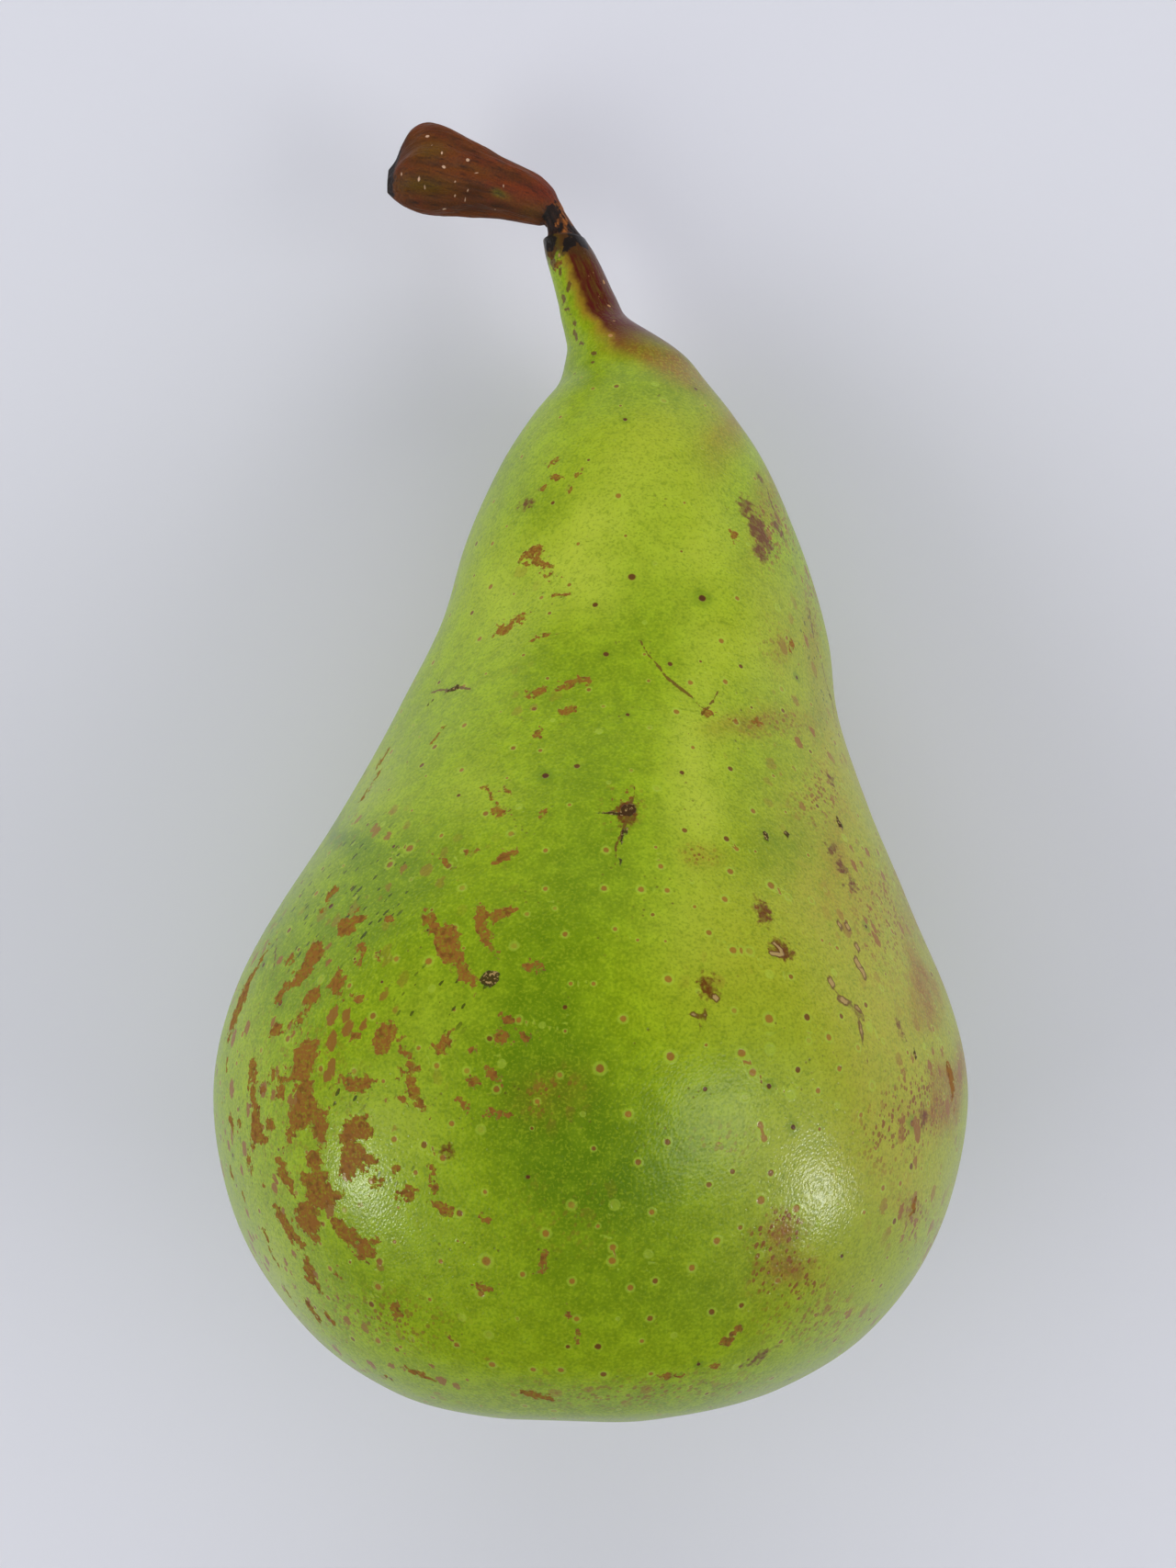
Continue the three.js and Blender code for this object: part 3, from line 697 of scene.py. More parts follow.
# Each kind of mark with its places.
MARKS = {
    MarkKind.RUSSET: RUSSET,
    MarkKind.BRUISE: BRUISES,
    MarkKind.SCAB: SCABS,
    MarkKind.SCAR: SCARS,
    MarkKind.CRACK: CRACKS,
    MarkKind.CHAR: CHARRED,
    MarkKind.PALE_SPECK: PALE_SPECKS,
}
# Where each wash is strong.
CLOUDS = {
    # Deep green: partly the skin's own, partly painted shade down the middle of the fruit.
    Wash.DEEP: (
        Cloud(700, 665, 50, 45, 0.25), Cloud(665, 745, 60, 50, 0.2), Cloud(650, 830, 60, 60, 0.35),
        Cloud(645, 925, 75, 60, 0.5), Cloud(605, 1020, 70, 70, 0.6), Cloud(580, 1120, 75, 70, 0.7),
        Cloud(600, 1220, 85, 70, 0.9), Cloud(640, 1305, 95, 60, 0.8), Cloud(650, 1400, 120, 60, 0.5),
        Cloud(735, 425, 70, 26, 0.55), Cloud(622, 405, 40, 30, 0.45), Cloud(590, 545, 34, 30, 0.35),
        Cloud(600, 720, 50, 40, 0.35), Cloud(530, 500, 30, 60, 0.3), Cloud(380, 1000, 90, 60, 0.35),
        Cloud(370, 920, 14, 34, 0.7, -30), Cloud(320, 1070, 50, 60, 0.4), Cloud(440, 960, 60, 50, 0.3),
        Cloud(800, 1170, 40, 40, 0.3), Cloud(850, 930, 40, 30, 0.3), Cloud(880, 780, 14, 30, 0.3),
        Cloud(720, 1260, 60, 60, 0.4), Cloud(380, 1400, 70, 40, 0.3), Cloud(780, 1400, 60, 40, 0.35),
        Cloud(640, 1516, 220, 26, 0.35), Cloud(440, 900, 120, 130, 0.25), Cloud(430, 1100, 130, 120, 0.2),
        Cloud(850, 900, 80, 90, 0.2),
    ),
    # Pale green: partly the skin's own, partly painted highlight on the neck, down the waist and on the
    # belly's sides.
    Wash.PALE: (
        Cloud(640, 590, 60, 60, 1.0), Cloud(700, 500, 60, 50, 0.45), Cloud(760, 590, 40, 60, 0.6),
        Cloud(768, 850, 34, 100, 1.0), Cloud(790, 700, 45, 50, 0.45), Cloud(540, 640, 40, 70, 0.4),
        Cloud(470, 1120, 60, 60, 0.25), Cloud(520, 860, 60, 40, 0.35), Cloud(430, 1230, 60, 50, 0.45),
        Cloud(760, 1010, 60, 60, 0.35), Cloud(860, 1180, 110, 90, 0.2), Cloud(270, 1140, 20, 140, 0.2),
        Cloud(300, 1390, 40, 60, 0.4), Cloud(640, 1510, 200, 24, 0.1), Cloud(400, 850, 30, 60, 0.4, -30),
    ),
    Wash.SUNNY: (
        Cloud(900, 820, 50, 130, 0.9), Cloud(960, 1080, 100, 170, 0.9), Cloud(870, 960, 80, 100, 0.5),
        Cloud(840, 680, 40, 80, 0.4), Cloud(890, 1290, 110, 80, 0.45), Cloud(990, 1250, 60, 120, 0.6),
        Cloud(870, 1400, 80, 50, 0.45), Cloud(790, 1060, 70, 80, 0.4), Cloud(720, 470, 60, 50, 0.3),
    ),
    Wash.BLUSH: (
        Cloud(728, 398, 62, 17, 1.2, 36), Cloud(673, 366, 20, 13, 0.9, 30),
        Cloud(795, 465, 22, 50, 0.7, 30), Cloud(835, 540, 18, 60, 0.5, 15),
        Cloud(1004, 1072, 20, 36, 1.5), Cloud(1034, 1185, 15, 34, 1.6), Cloud(910, 935, 14, 45, 0.55),
        Cloud(1010, 1200, 26, 16, 0.7), Cloud(845, 1352, 18, 16, 1.2), Cloud(850, 1390, 20, 16, 1.2),
        Cloud(950, 990, 40, 50, 0.25), Cloud(990, 1314, 14, 18, 0.7), Cloud(1000, 1000, 20, 50, 0.4),
        Cloud(768, 942, 22, 14, 0.4), Cloud(885, 700, 14, 60, 0.4), Cloud(850, 790, 40, 20, 0.3),
        Cloud(594, 1195, 34, 26, 0.35), Cloud(812, 784, 26, 12, 0.6), Cloud(840, 706, 16, 14, 0.35),
    ),
    Wash.FLECKED: (
        Cloud(330, 1080, 110, 90, 0.7), Cloud(300, 1260, 100, 150, 0.9), Cloud(360, 1400, 90, 70, 0.6),
        Cloud(400, 1180, 90, 60, 0.4), Cloud(430, 1490, 120, 30, 0.6), Cloud(390, 900, 40, 90, 0.5, -30),
        Cloud(500, 950, 80, 60, 0.35), Cloud(580, 760, 60, 60, 0.35), Cloud(570, 620, 40, 60, 0.3),
        Cloud(860, 720, 50, 60, 0.5), Cloud(880, 860, 50, 60, 0.6), Cloud(850, 800, 60, 30, 0.4),
        Cloud(960, 1000, 60, 80, 0.7), Cloud(1010, 1190, 40, 80, 0.9), Cloud(847, 1370, 46, 46, 0.5),
        Cloud(990, 1330, 50, 50, 0.7), Cloud(594, 1195, 46, 36, 0.5), Cloud(620, 1300, 90, 50, 0.3),
        Cloud(890, 620, 24, 70, 0.7), Cloud(960, 930, 30, 60, 0.7), Cloud(920, 1440, 60, 30, 0.6),
        Cloud(700, 1500, 220, 26, 0.4), Cloud(840, 560, 24, 50, 0.5), Cloud(780, 1060, 50, 60, 0.3),
    ),
    Wash.STIPPLED: (
        Cloud(843, 1352, 24, 20, 2.0), Cloud(850, 1390, 26, 20, 2.0), Cloud(594, 1195, 34, 26, 0.6),
        Cloud(965, 1010, 40, 80, 0.6), Cloud(1005, 1195, 36, 40, 0.9), Cloud(885, 870, 36, 50, 0.6),
        Cloud(836, 572, 24, 44, 0.9), Cloud(1000, 1330, 30, 40, 0.7), Cloud(830, 700, 30, 40, 0.4),
        Cloud(890, 640, 14, 60, 0.8), Cloud(700, 1505, 200, 20, 0.5), Cloud(780, 1250, 60, 40, 0.4),
        Cloud(684, 880, 26, 26, 0.9), Cloud(840, 790, 40, 26, 0.5), Cloud(960, 1240, 40, 50, 0.5),
        Cloud(420, 1440, 100, 40, 0.5), Cloud(330, 1180, 90, 200, 0.35), Cloud(620, 1330, 80, 60, 0.35),
        Cloud(880, 1440, 80, 30, 0.5), Cloud(768, 940, 26, 16, 0.6),
    ),
    Wash.PITTED: (
        Cloud(400, 985, 60, 40, 0.9), Cloud(340, 1020, 50, 60, 0.8), Cloud(500, 1085, 40, 30, 0.9),
        Cloud(450, 1110, 40, 50, 0.6), Cloud(370, 1185, 40, 26, 0.8), Cloud(380, 940, 50, 60, 0.7),
        Cloud(870, 560, 20, 60, 0.9), Cloud(880, 700, 20, 60, 0.7), Cloud(900, 800, 24, 60, 0.6),
        Cloud(430, 1270, 60, 40, 0.5), Cloud(300, 1300, 50, 120, 0.4), Cloud(260, 1150, 30, 120, 0.4),
    ),
}


@dataclass(frozen=True)
class SkinFinish:
    """Ripening pear skin: a thin waxy cuticle over green flesh, smooth, with corky dots and russet.

    The wax gives the eye soft white highlights with a fine grain. Cork, scabs and scars are dull.
    """

    mid: str = "#889F00"
    fresh: str = "#97B106"
    # Deep green of the skin, also used as painted shade down the middle of the fruit.
    deep: str = "#5A7A00"
    # Pale green of the skin, also used as painted highlight on the neck, the waist and the belly's sides.
    pale: str = "#B9C63C"
    glimmer: str = "#ADBC20"
    sunny: str = "#A8A02C"
    blush: str = "#8E5C1A"
    russet: str = "#8C5C20"
    russet_dark: str = "#643C14"
    bruise: str = "#66320A"
    scab: str = "#402A12"
    scar: str = "#AA8E56"
    ring: str = "#A6BC34"
    core: str = "#986820"
    core_dark: str = "#553010"
    scratch: str = "#6A4A12"
    collar: str = "#4A3016"
    char: str = "#1C1A1A"
    pale_speck: str = "#BC8A54"
    pit: str = "#3A3C0A"
    stipple: str = "#83521A"
    foot_red: str = "#541610"
    foot_amber: str = "#98521C"
    roughness: float = 0.42
    specular: float = 0.12
    coat: float = 0.42
    coat_roughness: float = 0.2


class Nodes:
    """A material's node tree, built up one node at a time."""

    def __init__(self, name: str) -> None:
        """Starts an empty tree with its output node.

        Args:
            name: the material's name.
        """
        self.material = bpy.data.materials.new(name)
        self.material.use_nodes = True
        self.tree = self.material.node_tree
        self.tree.nodes.clear()
        self.output = self.add("ShaderNodeOutputMaterial")

    def add(self, kind: str, settings: dict | None = None, **inputs: object) -> bpy.types.Node:
        """Adds a node with its settings and links.

        Args:
            kind: the node's type name.
            settings: properties of the node itself.
            inputs: for each input, by its name in lower case with underscores, or by i and its number,
                a value, a node whose first output goes there, or an output socket.

        Returns:
            The new node.
        """
        node = self.tree.nodes.new(kind)
        for key, value in (settings or {}).items():
            setattr(node, key, value)
        for key, value in inputs.items():
            if key[0] == "i" and key[1:].isdigit():
                socket = node.inputs[int(key[1:])]
            else:
                name = key.replace("_", " ")
                socket = next(s for s in node.inputs if s.enabled and s.name.lower() == name)
            if isinstance(value, bpy.types.Node):
                value = next(o for o in value.outputs if o.enabled)
            if isinstance(value, bpy.types.NodeSocket):
                self.tree.links.new(value, socket)
            else:
                socket.default_value = value
        return node


class Grown:
    """A grown surface on a grid of rows and columns, with marks placed on it by the picture's pixels."""

    form: PearForm

    def settle(self, grid: np.ndarray) -> None:
        """Keeps the grid, with its normals and its place in the picture.

        Args:
            grid: points in the row frame in millimetres, shape (rows, columns, 3).
        """
        self.grid = grid
        self.normals = normals_of(grid)
        self.right, self.down = self.form.in_picture(grid)
        self.facing_up = ramp(self.normals[..., 2], SEEN_FROM, SEEN_IN_FULL)

    def spot(self, right: float, down: float) -> tuple[int, int]:
        """Row and column of the point that the picture shows nearest to a pixel."""
        gap = (self.right - right) ** 2 + (self.down - down) ** 2 + OUT_OF_SIGHT * (self.facing_up < 0.5)
        return np.unravel_index(gap.argmin(), gap.shape)

    def inside(self, place: tuple[int, int], length: float, width: float, turn: float) -> np.ndarray:
        """How far each point is inside an ellipse on the skin, in millimetres, negative outside.

        With p and q the distances from its middle along and across it, it is
        (1 - sqrt((2p / length)^2 + (2q / width)^2)) times half the width.

        Args:
            place: row and column of its middle.
            length: its length in millimetres.
            width: its width in millimetres.
            turn: its turn seen from above, in radians.

        Returns:
            The depth at each point of the grid.
        """
        middle, normal = self.grid[place], self.normals[place]
        along = np.array([math.cos(turn), math.sin(turn), 0.0])
        along -= normal * (along @ normal)
        along /= np.linalg.norm(along)
        across = np.cross(normal, along)
        away = self.grid - middle
        p, q, out = away @ along, away @ across, away @ normal
        reach = np.sqrt((2 * p / length) ** 2 + (2 * q / width) ** 2 + (out / 2) ** 2)
        return (1 - reach) * width / 2

    def fibre_place(self, angle: np.ndarray, run: np.ndarray) -> np.ndarray:
        """A place for long fibres: reach times cos and sin of the angle, and an eighth of the run."""
        reach = np.linalg.norm(self.grid - self.grid.mean(1, keepdims=True), axis=-1)
        return np.stack([reach * np.cos(angle), reach * np.sin(angle), run / 8 + 0 * reach], axis=-1)

    def marks(self, flecks: tuple[Fleck, ...], seed: int) -> np.ndarray:
        """Works out how deep each point is inside some flecks, with their edges moved by noise.

        Args:
            flecks: the marks.
            seed: which noise to use.

        Returns:
            The greatest depth at each point, in millimetres, negative outside.
        """
        depth = np.full(self.grid.shape[:2], -MARK_REACH)
        rough = layered_noise(self.grid, EDGE_CELL, seed)
        for fleck in flecks:
            place = self.spot(fleck.right, fleck.down)
            inside = self.inside(place, fleck.length, fleck.width, math.radians(fleck.turn))
            depth = np.maximum(depth, inside + fleck.ragged * rough)
        return np.clip(depth, -MARK_REACH, MARK_REACH)

    def clouded(self, clouds: tuple[Cloud, ...]) -> np.ndarray:
        """Strength of some soft patches at each point.

        It is the sum of strength times exp(-(x^2 + y^2)), x and y being shares of a patch's half sizes
        in the picture, with places moved by noise.

        Args:
            clouds: the patches.

        Returns:
            The sum, from 0 to 1.
        """
        noise_right, noise_down = (layered_noise(self.grid, CLOUD_CELL, seed) for seed in CLOUD_SEEDS)
        right = self.right + CLOUD_SWAY * noise_right
        down = self.down + CLOUD_SWAY * noise_down
        total = np.zeros(right.shape)
        for cloud in clouds:
            turn = math.radians(cloud.turn)
            x = (right - cloud.right) * math.cos(turn) + (down - cloud.down) * math.sin(turn)
            y = (down - cloud.down) * math.cos(turn) - (right - cloud.right) * math.sin(turn)
            total += cloud.strength * np.exp(-((x / cloud.half_width) ** 2) - (y / cloud.half_height) ** 2)
        return np.clip(total, 0, 1)


@dataclass
class Skin(Grown):
    """The fruit's skin with its stalk foot, in one closed piece.

    Stations, spacing and the sizes of flecks and dots are in millimetres.
    """

    form: PearForm
    finish: SkinFinish
    rows: int = 330
    columns: int = 290
    body_end: float = 96.0
    foot_start: float = 94.0
    foot_full: float = 100.0
    dot_spacing: float = 2.3
    dot_radii: tuple[float, float] = (0.17, 0.4)
    dot_tries: int = 5200
    wild_flecks: int = 90
    wild_lengths: tuple[float, float] = (0.9, 3.4)
    wild_ragged: float = 0.5

    def __post_init__(self) -> None:
        """Works out the skin's grid in the row frame."""
        self.random = np.random.default_rng(7)
        self.station, radius, self.angle = self.form.fruit_grid(self.rows, self.columns)
        grid = self.form.in_frame(self.form.fruit_points(self.station, radius, self.angle))
        grid[..., 2] = np.maximum(grid[..., 2], 0)
        self.settle(held_in(grid, "fruit"))
        self.body = self.station < self.body_end

    def wild_russet(self) -> np.ndarray:
        """Scatters russet flecks at seeded random places on the sides that the picture doesn't show.

        Returns:
            The depth inside them at each point, in millimetres, negative outside.
        """
        depth = np.full(self.grid.shape[:2], -MARK_REACH)
        rough = layered_noise(self.grid, EDGE_CELL, WILD_SEED)
        hidden = np.argwhere((self.facing_up < 0.3) & self.body & (self.station > 6))
        chosen = hidden[self.random.integers(0, len(hidden), self.wild_flecks)]
        for row, column in chosen:
            length = self.random.uniform(*self.wild_lengths)
            width = length * self.random.uniform(0.35, 0.8)
            inside = self.inside((row, column), length, width, self.random.uniform(0, math.pi))
            depth = np.maximum(depth, inside + self.wild_ragged * rough)
        return np.clip(depth, -MARK_REACH, MARK_REACH)

    def wash(self, kind: Wash) -> np.ndarray:
        """Strength of a wash: its clouds where the skin faces up, and soft noise elsewhere."""
        hidden = 0.5 * ramp(layered_noise(self.grid, 14, WASH_SEED + len(kind.value)), -0.1, 0.7)
        return self.clouded(CLOUDS[kind]) * self.facing_up + hidden * (1 - self.facing_up)

    def dots(self) -> tuple[np.ndarray, np.ndarray, np.ndarray]:
        """Corky pores over the whole skin: the picture's own, then seeded ones kept clear of each other.

        A seeded pore is tried at a point with a chance that follows its share of the skin's area, and is
        four times as likely on the belly as on the neck.

        Returns:
            Places in millimetres, radii in millimetres and tones.
        """
        named = [(self.grid[self.spot(d.right, d.down)], d.radius, d.tone) for d in DOTS]
        places = [place for place, _, _ in named]
        radii = [radius for _, radius, _ in named]
        tones = [tone for _, _, tone in named]
        step = np.linalg.norm(np.gradient(self.grid, axis=0), axis=-1)
        step *= np.linalg.norm(np.roll(self.grid, -1, 1) - self.grid, axis=-1)
        lower = ramp(-self.station, -75, -35) + 0 * self.angle
        weight = (step * (0.25 + 0.75 * lower) * self.body).ravel()
        tries = self.random.choice(weight.size, self.dot_tries, p=weight / weight.sum())
        flat = self.grid.reshape(-1, 3)
        for index in tries:
            gap = self.dot_spacing * self.random.uniform(0.7, 1.7)
            if np.min(np.linalg.norm(np.array(places) - flat[index], axis=1)) > gap:
                places.append(flat[index])
                radii.append(self.random.uniform(*self.dot_radii))
                tones.append(self.random.beta(1.6, 1.8))
        return np.array(places), np.array(radii), np.array(tones)

    def dot_fields(self) -> dict[str, np.ndarray]:
        """Finds the nearest pore for each point.

        The way from its middle is kept as a vector because a vector blends exactly over a face, so the
        pore's outline is round however large the faces are. Its plain length tells two pores apart on a
        face between them.

        Returns:
            The way, its length, and the pore's radius and tone, by name.
        """
        places, radii, tones = self.dots()
        nearest = np.empty(self.grid.shape[:2], int)
        for row, points in enumerate(self.grid):
            gap = ((points[:, None] - places[None]) ** 2).sum(-1)
            nearest[row] = gap.argmin(1)
        way = self.grid - places[nearest]
        LOG.info("pores: %d", len(places))
        return {
            "pore_way": way, "pore_gap": np.linalg.norm(way, axis=-1),
            "pore_radius": radii[nearest], "pore_tone": tones[nearest],
        }

    def scratch_fields(self) -> dict[str, np.ndarray]:
        """Finds the nearest scratch for each point.

        Returns:
            The way from its middle line, and its half width there, by name.
        """
        lines = []
        for scratch in SCRATCHES:
            curve = spline(scratch, 8)
            places = np.array([self.grid[self.spot(right, down)] for right, down, _ in scratch])
            share = np.linspace(0, len(scratch) - 1, len(curve))
            line = [np.interp(share, np.arange(len(scratch)), axis) for axis in places.T]
            lines.append(np.column_stack([*line, curve[:, 2]]))
        line = np.vstack(lines)
        way = np.full(self.grid.shape, 3.0)
        width = np.full(self.grid.shape[:2], 0.1)
        near = np.full(self.grid.shape[:2], 9.0)
        for *place, half in line:
            away = self.grid - np.array(place)
            gap = np.linalg.norm(away, axis=-1)
            closer = gap < near
            near[closer], width[closer], way[closer] = gap[closer], half, away[closer]
        return {"scratch_way": way, "scratch_width": width}

    def foot(self) -> np.ndarray:
        """One on the stalk foot, fading out over the shoulder."""
        noise = layered_noise(self.grid, 2, FOOT_SEED)
        return ramp(self.station + 0.8 * noise, self.foot_start, self.foot_full)

    def foot_side(self) -> np.ndarray:
        """Tells the foot's left, which stays green, from its right, which is red.

        Returns:
            The share of each point's reach that points right, from -1 to 1.
        """
        middle = self.grid.mean(1, keepdims=True)
        reach = np.linalg.norm(self.grid - middle, axis=-1) + 1e-6
        return (self.grid - middle)[..., 0] / reach

    def build(self) -> bpy.types.Object:
        """Makes the piece and dresses it.

        Returns:
            The finished object.
        """
        values = {
            kind.value: self.marks(flecks, FIRST_MARK_SEED + step)
            for step, (kind, flecks) in enumerate(MARKS.items())
        }
        values[MarkKind.RUSSET.value] = np.maximum(values[MarkKind.RUSSET.value], self.wild_russet())
        values |= {
            **{kind.value: self.wash(kind) for kind in Wash},
            **self.dot_fields(),
            **self.scratch_fields(),
            "foot": self.foot(),
            "foot_side": self.foot_side(),
            "collar": self.station - FOOT_END_STATION + 0 * self.angle,
            "fibre": self.fibre_place(self.angle, self.station),
        }
        values = {key: value[1:] for key, value in values.items()}
        surface = Surface(self.grid[1:], self.grid[0].mean(0), self.grid[-1].mean(0), values)
        piece = piece_from([surface], "skin")
        piece.data.materials.append(self.material())
        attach(piece, "root")
        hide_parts("fruit")
        LOG.info("skin: %d points", len(piece.data.vertices))
        return piece

    def material(self) -> bpy.types.Material:
        """Waxy pear skin: green washes first, partly painted shade and painted highlight, then speckle,
        pores, russet, scars and scabs over them.

        Returns:
            The material.
        """
        look = self.finish
        nodes = Nodes("waxy_pear_skin")
        place = nodes.add("ShaderNodeTexCoord").outputs["Object"]
        mm = nodes.add("ShaderNodeVectorMath", SCALE, vector=place, scale=1000.0)
        fibre = nodes.add("ShaderNodeAttribute", {"attribute_name": "fibre"}).outputs["Vector"]
        way = nodes.add("ShaderNodeAttribute", {"attribute_name": "pore_way"}).outputs["Vector"]

        # What the masks read: the piece's own values, and noise with features of a size in millimetres.
        mask = {}
        own = (*(kind.value for kind in (*MarkKind, *Wash)), "pore_gap", "pore_radius", "pore_tone",
               "foot", "foot_side", "collar", "scratch_width")
        for name in own:
            mask[name] = nodes.add("ShaderNodeAttribute", {"attribute_name": name}).outputs["Fac"]
        for name, size, detail in (("clouds", 7.0, 3.0), ("patches", 5.0, 2.0), ("mottle", 1.7, 3.0),
                                   ("fleck", 0.55, 2.0), ("edge", 0.5, 3.0), ("grain", 0.24, 1.0)):
            noise = nodes.add("ShaderNodeTexNoise", vector=mm, scale=1 / size, detail=detail, roughness=0.55)
            mask[name] = noise.outputs["Fac"]
        mask["strand"] = nodes.add("ShaderNodeTexNoise", vector=fibre, scale=5.0, detail=2.0).outputs["Fac"]
        specks = nodes.add("ShaderNodeTexVoronoi", vector=mm, scale=1 / 0.75, randomness=1.0)
        mask["speck_gap"] = specks.outputs["Distance"]

        # Small flecks and pits are cells of their own size, drawn out along the pear or slantwise. The
        # wax, like the grain above, is finer on a real pear, and is drawn just coarse enough to show.
        for name, width, length, slant in (("fleck_cell", 1.5, 2.3, 0.0), ("pit_cell", 0.5, 1.3, -0.6),
                                           ("wax_cell", 0.22, 0.34, -0.6), ("stipple_cell", 0.42, 0.6, -0.5)):
            drawn = nodes.add("ShaderNodeMapping", {"vector_type": "TEXTURE"}, vector=mm,
                              rotation=(0.0, 0.0, slant), scale=(width, length, width))
            cells = nodes.add("ShaderNodeTexVoronoi", vector=drawn, scale=1.0, randomness=1.0)
            shade = nodes.add("ShaderNodeSeparateColor", color=cells.outputs["Color"])
            away = cells.outputs["Distance"]
            size = nodes.add("ShaderNodeMath", MULTIPLY_ADD, i0=shade.outputs[0], i1=-0.4, i2=away)
            mask[name] = nodes.add("ShaderNodeMath", MULTIPLY_ADD, i0=mask["edge"], i1=0.5, i2=size)

        # Noise moves the edges of the marks, each by its own share of a millimetre.
        ragged = nodes.add("ShaderNodeMath", SUBTRACT, i0=mask["edge"], i1=0.5)
        broken = nodes.add("ShaderNodeMath", SUBTRACT, i0=mask["mottle"], i1=0.5)
        for name, share in (("russet", 1.8), ("bruise", 2.2), ("scab", 0.5), ("scar", 0.3), ("crack", 0.9),
                            ("char", 0.8), ("pale_speck", 0.12), ("collar", 3.0)):
            mask[name] = nodes.add("ShaderNodeMath", MULTIPLY_ADD, i0=ragged, i1=share, i2=mask[name])
        scratch = nodes.add("ShaderNodeAttribute", {"attribute_name": "scratch_way"}).outputs["Vector"]
        off_line = nodes.add("ShaderNodeVectorMath", LENGTH, vector=scratch).outputs["Value"]
        off_line = nodes.add("ShaderNodeMath", MULTIPLY_ADD, i0=ragged, i1=0.5, i2=off_line)
        mask["scratch_gap"] = nodes.add("ShaderNodeMath", DIVIDE, i0=off_line, i1=mask["scratch_width"])
        mask["russet"] = nodes.add("ShaderNodeMath", MULTIPLY_ADD, i0=broken, i1=1.6, i2=mask["russet"])
        side = mask["foot_side"]
        mask["side"] = nodes.add("ShaderNodeMath", MULTIPLY_ADD, i0=mask["mottle"], i1=0.7, i2=side)
        length = nodes.add("ShaderNodeVectorMath", LENGTH, vector=way).outputs["Value"]
        apart = nodes.add("ShaderNodeMath", SUBTRACT, i0=mask["pore_gap"], i1=0.45)
        gap = nodes.add("ShaderNodeMath", MAXIMUM, i0=length, i1=apart)
        gap = nodes.add("ShaderNodeMath", MULTIPLY_ADD, i0=ragged, i1=0.16, i2=gap)
        mask["gap"] = nodes.add("ShaderNodeMath", DIVIDE, i0=gap, i1=mask["pore_radius"])

        # Each mask climbs smoothly: its name, what it reads, from, to, the value before and after.
        for name, source, low, high, before, after in (
            ("ripe", "mottle", 0.35, 0.7, 0.0, 1.0),
            ("pale_share", "clouds", 0.2, 0.6, 0.6, 1.0),
            ("sunny_share", "mottle", 0.2, 0.8, 0.65, 1.0),
            ("deep_share", "mottle", 0.3, 0.75, 1.0, 0.7),
            ("blush_share", "mottle", 0.25, 0.7, 0.6, 1.0),
            ("deep_fleck", "fleck", 0.45, 0.8, 0.0, 0.35),
            ("pale_grain", "grain", 0.48, 0.72, 0.0, 0.32),
            ("dark_grain", "grain", 0.28, 0.5, 0.36, 0.0),
            ("core", "gap", 0.5, 0.8, 1.0, 0.0),
            ("cored", "pore_tone", 0.12, 0.3, 0.0, 0.9),
            ("core_toned", "pore_tone", 0.45, 1.0, 0.0, 1.0),
            ("halo", "gap", 1.0, 1.4, 1.0, 0.0),
            ("haloed", "pore_tone", 0.75, 0.9, 0.45, 0.0),
            ("shade", "gap", 1.0, 3.0, 1.0, 0.0),
            ("shaded", "pore_tone", 0.8, 1.0, 0.0, 0.5),
            ("amber_in", "side", -0.4, 0.0, 0.0, 0.65),
            ("amber_out", "side", 0.15, 0.4, 1.0, 0.0),
            ("red", "side", -0.08, 0.24, 0.0, 1.0),
            ("red_strand", "strand", 0.35, 0.7, 1.0, 0.9),
            ("speck", "speck_gap", 0.1, 0.2, 0.7, 0.0),
            ("speck_patch", "patches", 0.55, 0.7, 0.0, 0.8),
            ("stipple", "stipple_cell", 0.3, 0.42, 0.95, 0.0),
            ("stipple_zone", "stippled", 0.1, 0.7, 0.0, 1.0),
            ("flecks", "fleck_cell", 0.2, 0.27, 0.92, 0.0),
            ("fleck_zone", "flecked", 0.1, 0.65, 0.0, 1.0),
            ("pits", "pit_cell", 0.14, 0.22, 0.85, 0.0),
            ("pit_zone", "pitted", 0.15, 0.7, 0.0, 1.0),
            ("wax", "wax_cell", 0.0, 0.9, 0.0, 1.0),
            ("bruised", "bruise", -0.25, 0.35, 0.0, 1.0),
            ("bruise_share", "fleck", 0.3, 0.6, 0.6, 0.95),
            ("corky", "russet", -0.04, 0.1, 0.0, 1.0),
            ("corky_share", "grain", 0.3, 0.55, 0.55, 1.0),
            ("corky_dark", "fleck", 0.5, 0.7, 0.0, 0.6),
            ("collar_brown", "collar", -3.0, -1.3, 0.0, 0.92),
            ("charred", "char", -0.06, 0.1, 0.0, 0.93),
            ("speckled", "pale_speck", -0.02, 0.04, 0.0, 0.75),
            ("scratched", "scratch_gap", 0.7, 1.15, 0.9, 0.0),
            ("cracked", "crack", -0.05, 0.05, 0.0, 0.85),
            ("scar_edge", "scar", -0.14, -0.02, 0.0, 0.85),
            ("scarred", "scar", 0.0, 0.12, 0.0, 1.0),
            ("scabby", "scab", -0.05, 0.06, 0.0, 0.92),
            ("scab_chip", "grain", 0.56, 0.66, 0.0, 1.0),
            ("matt", "mottle", 0.2, 0.8, look.roughness - 0.04, look.roughness + 0.04),
        ):
            step = nodes.add("ShaderNodeMapRange", SMOOTHSTEP, value=mask[source],
                             from_min=low, from_max=high, to_min=before, to_max=after)
            mask[name] = step.outputs["Result"]

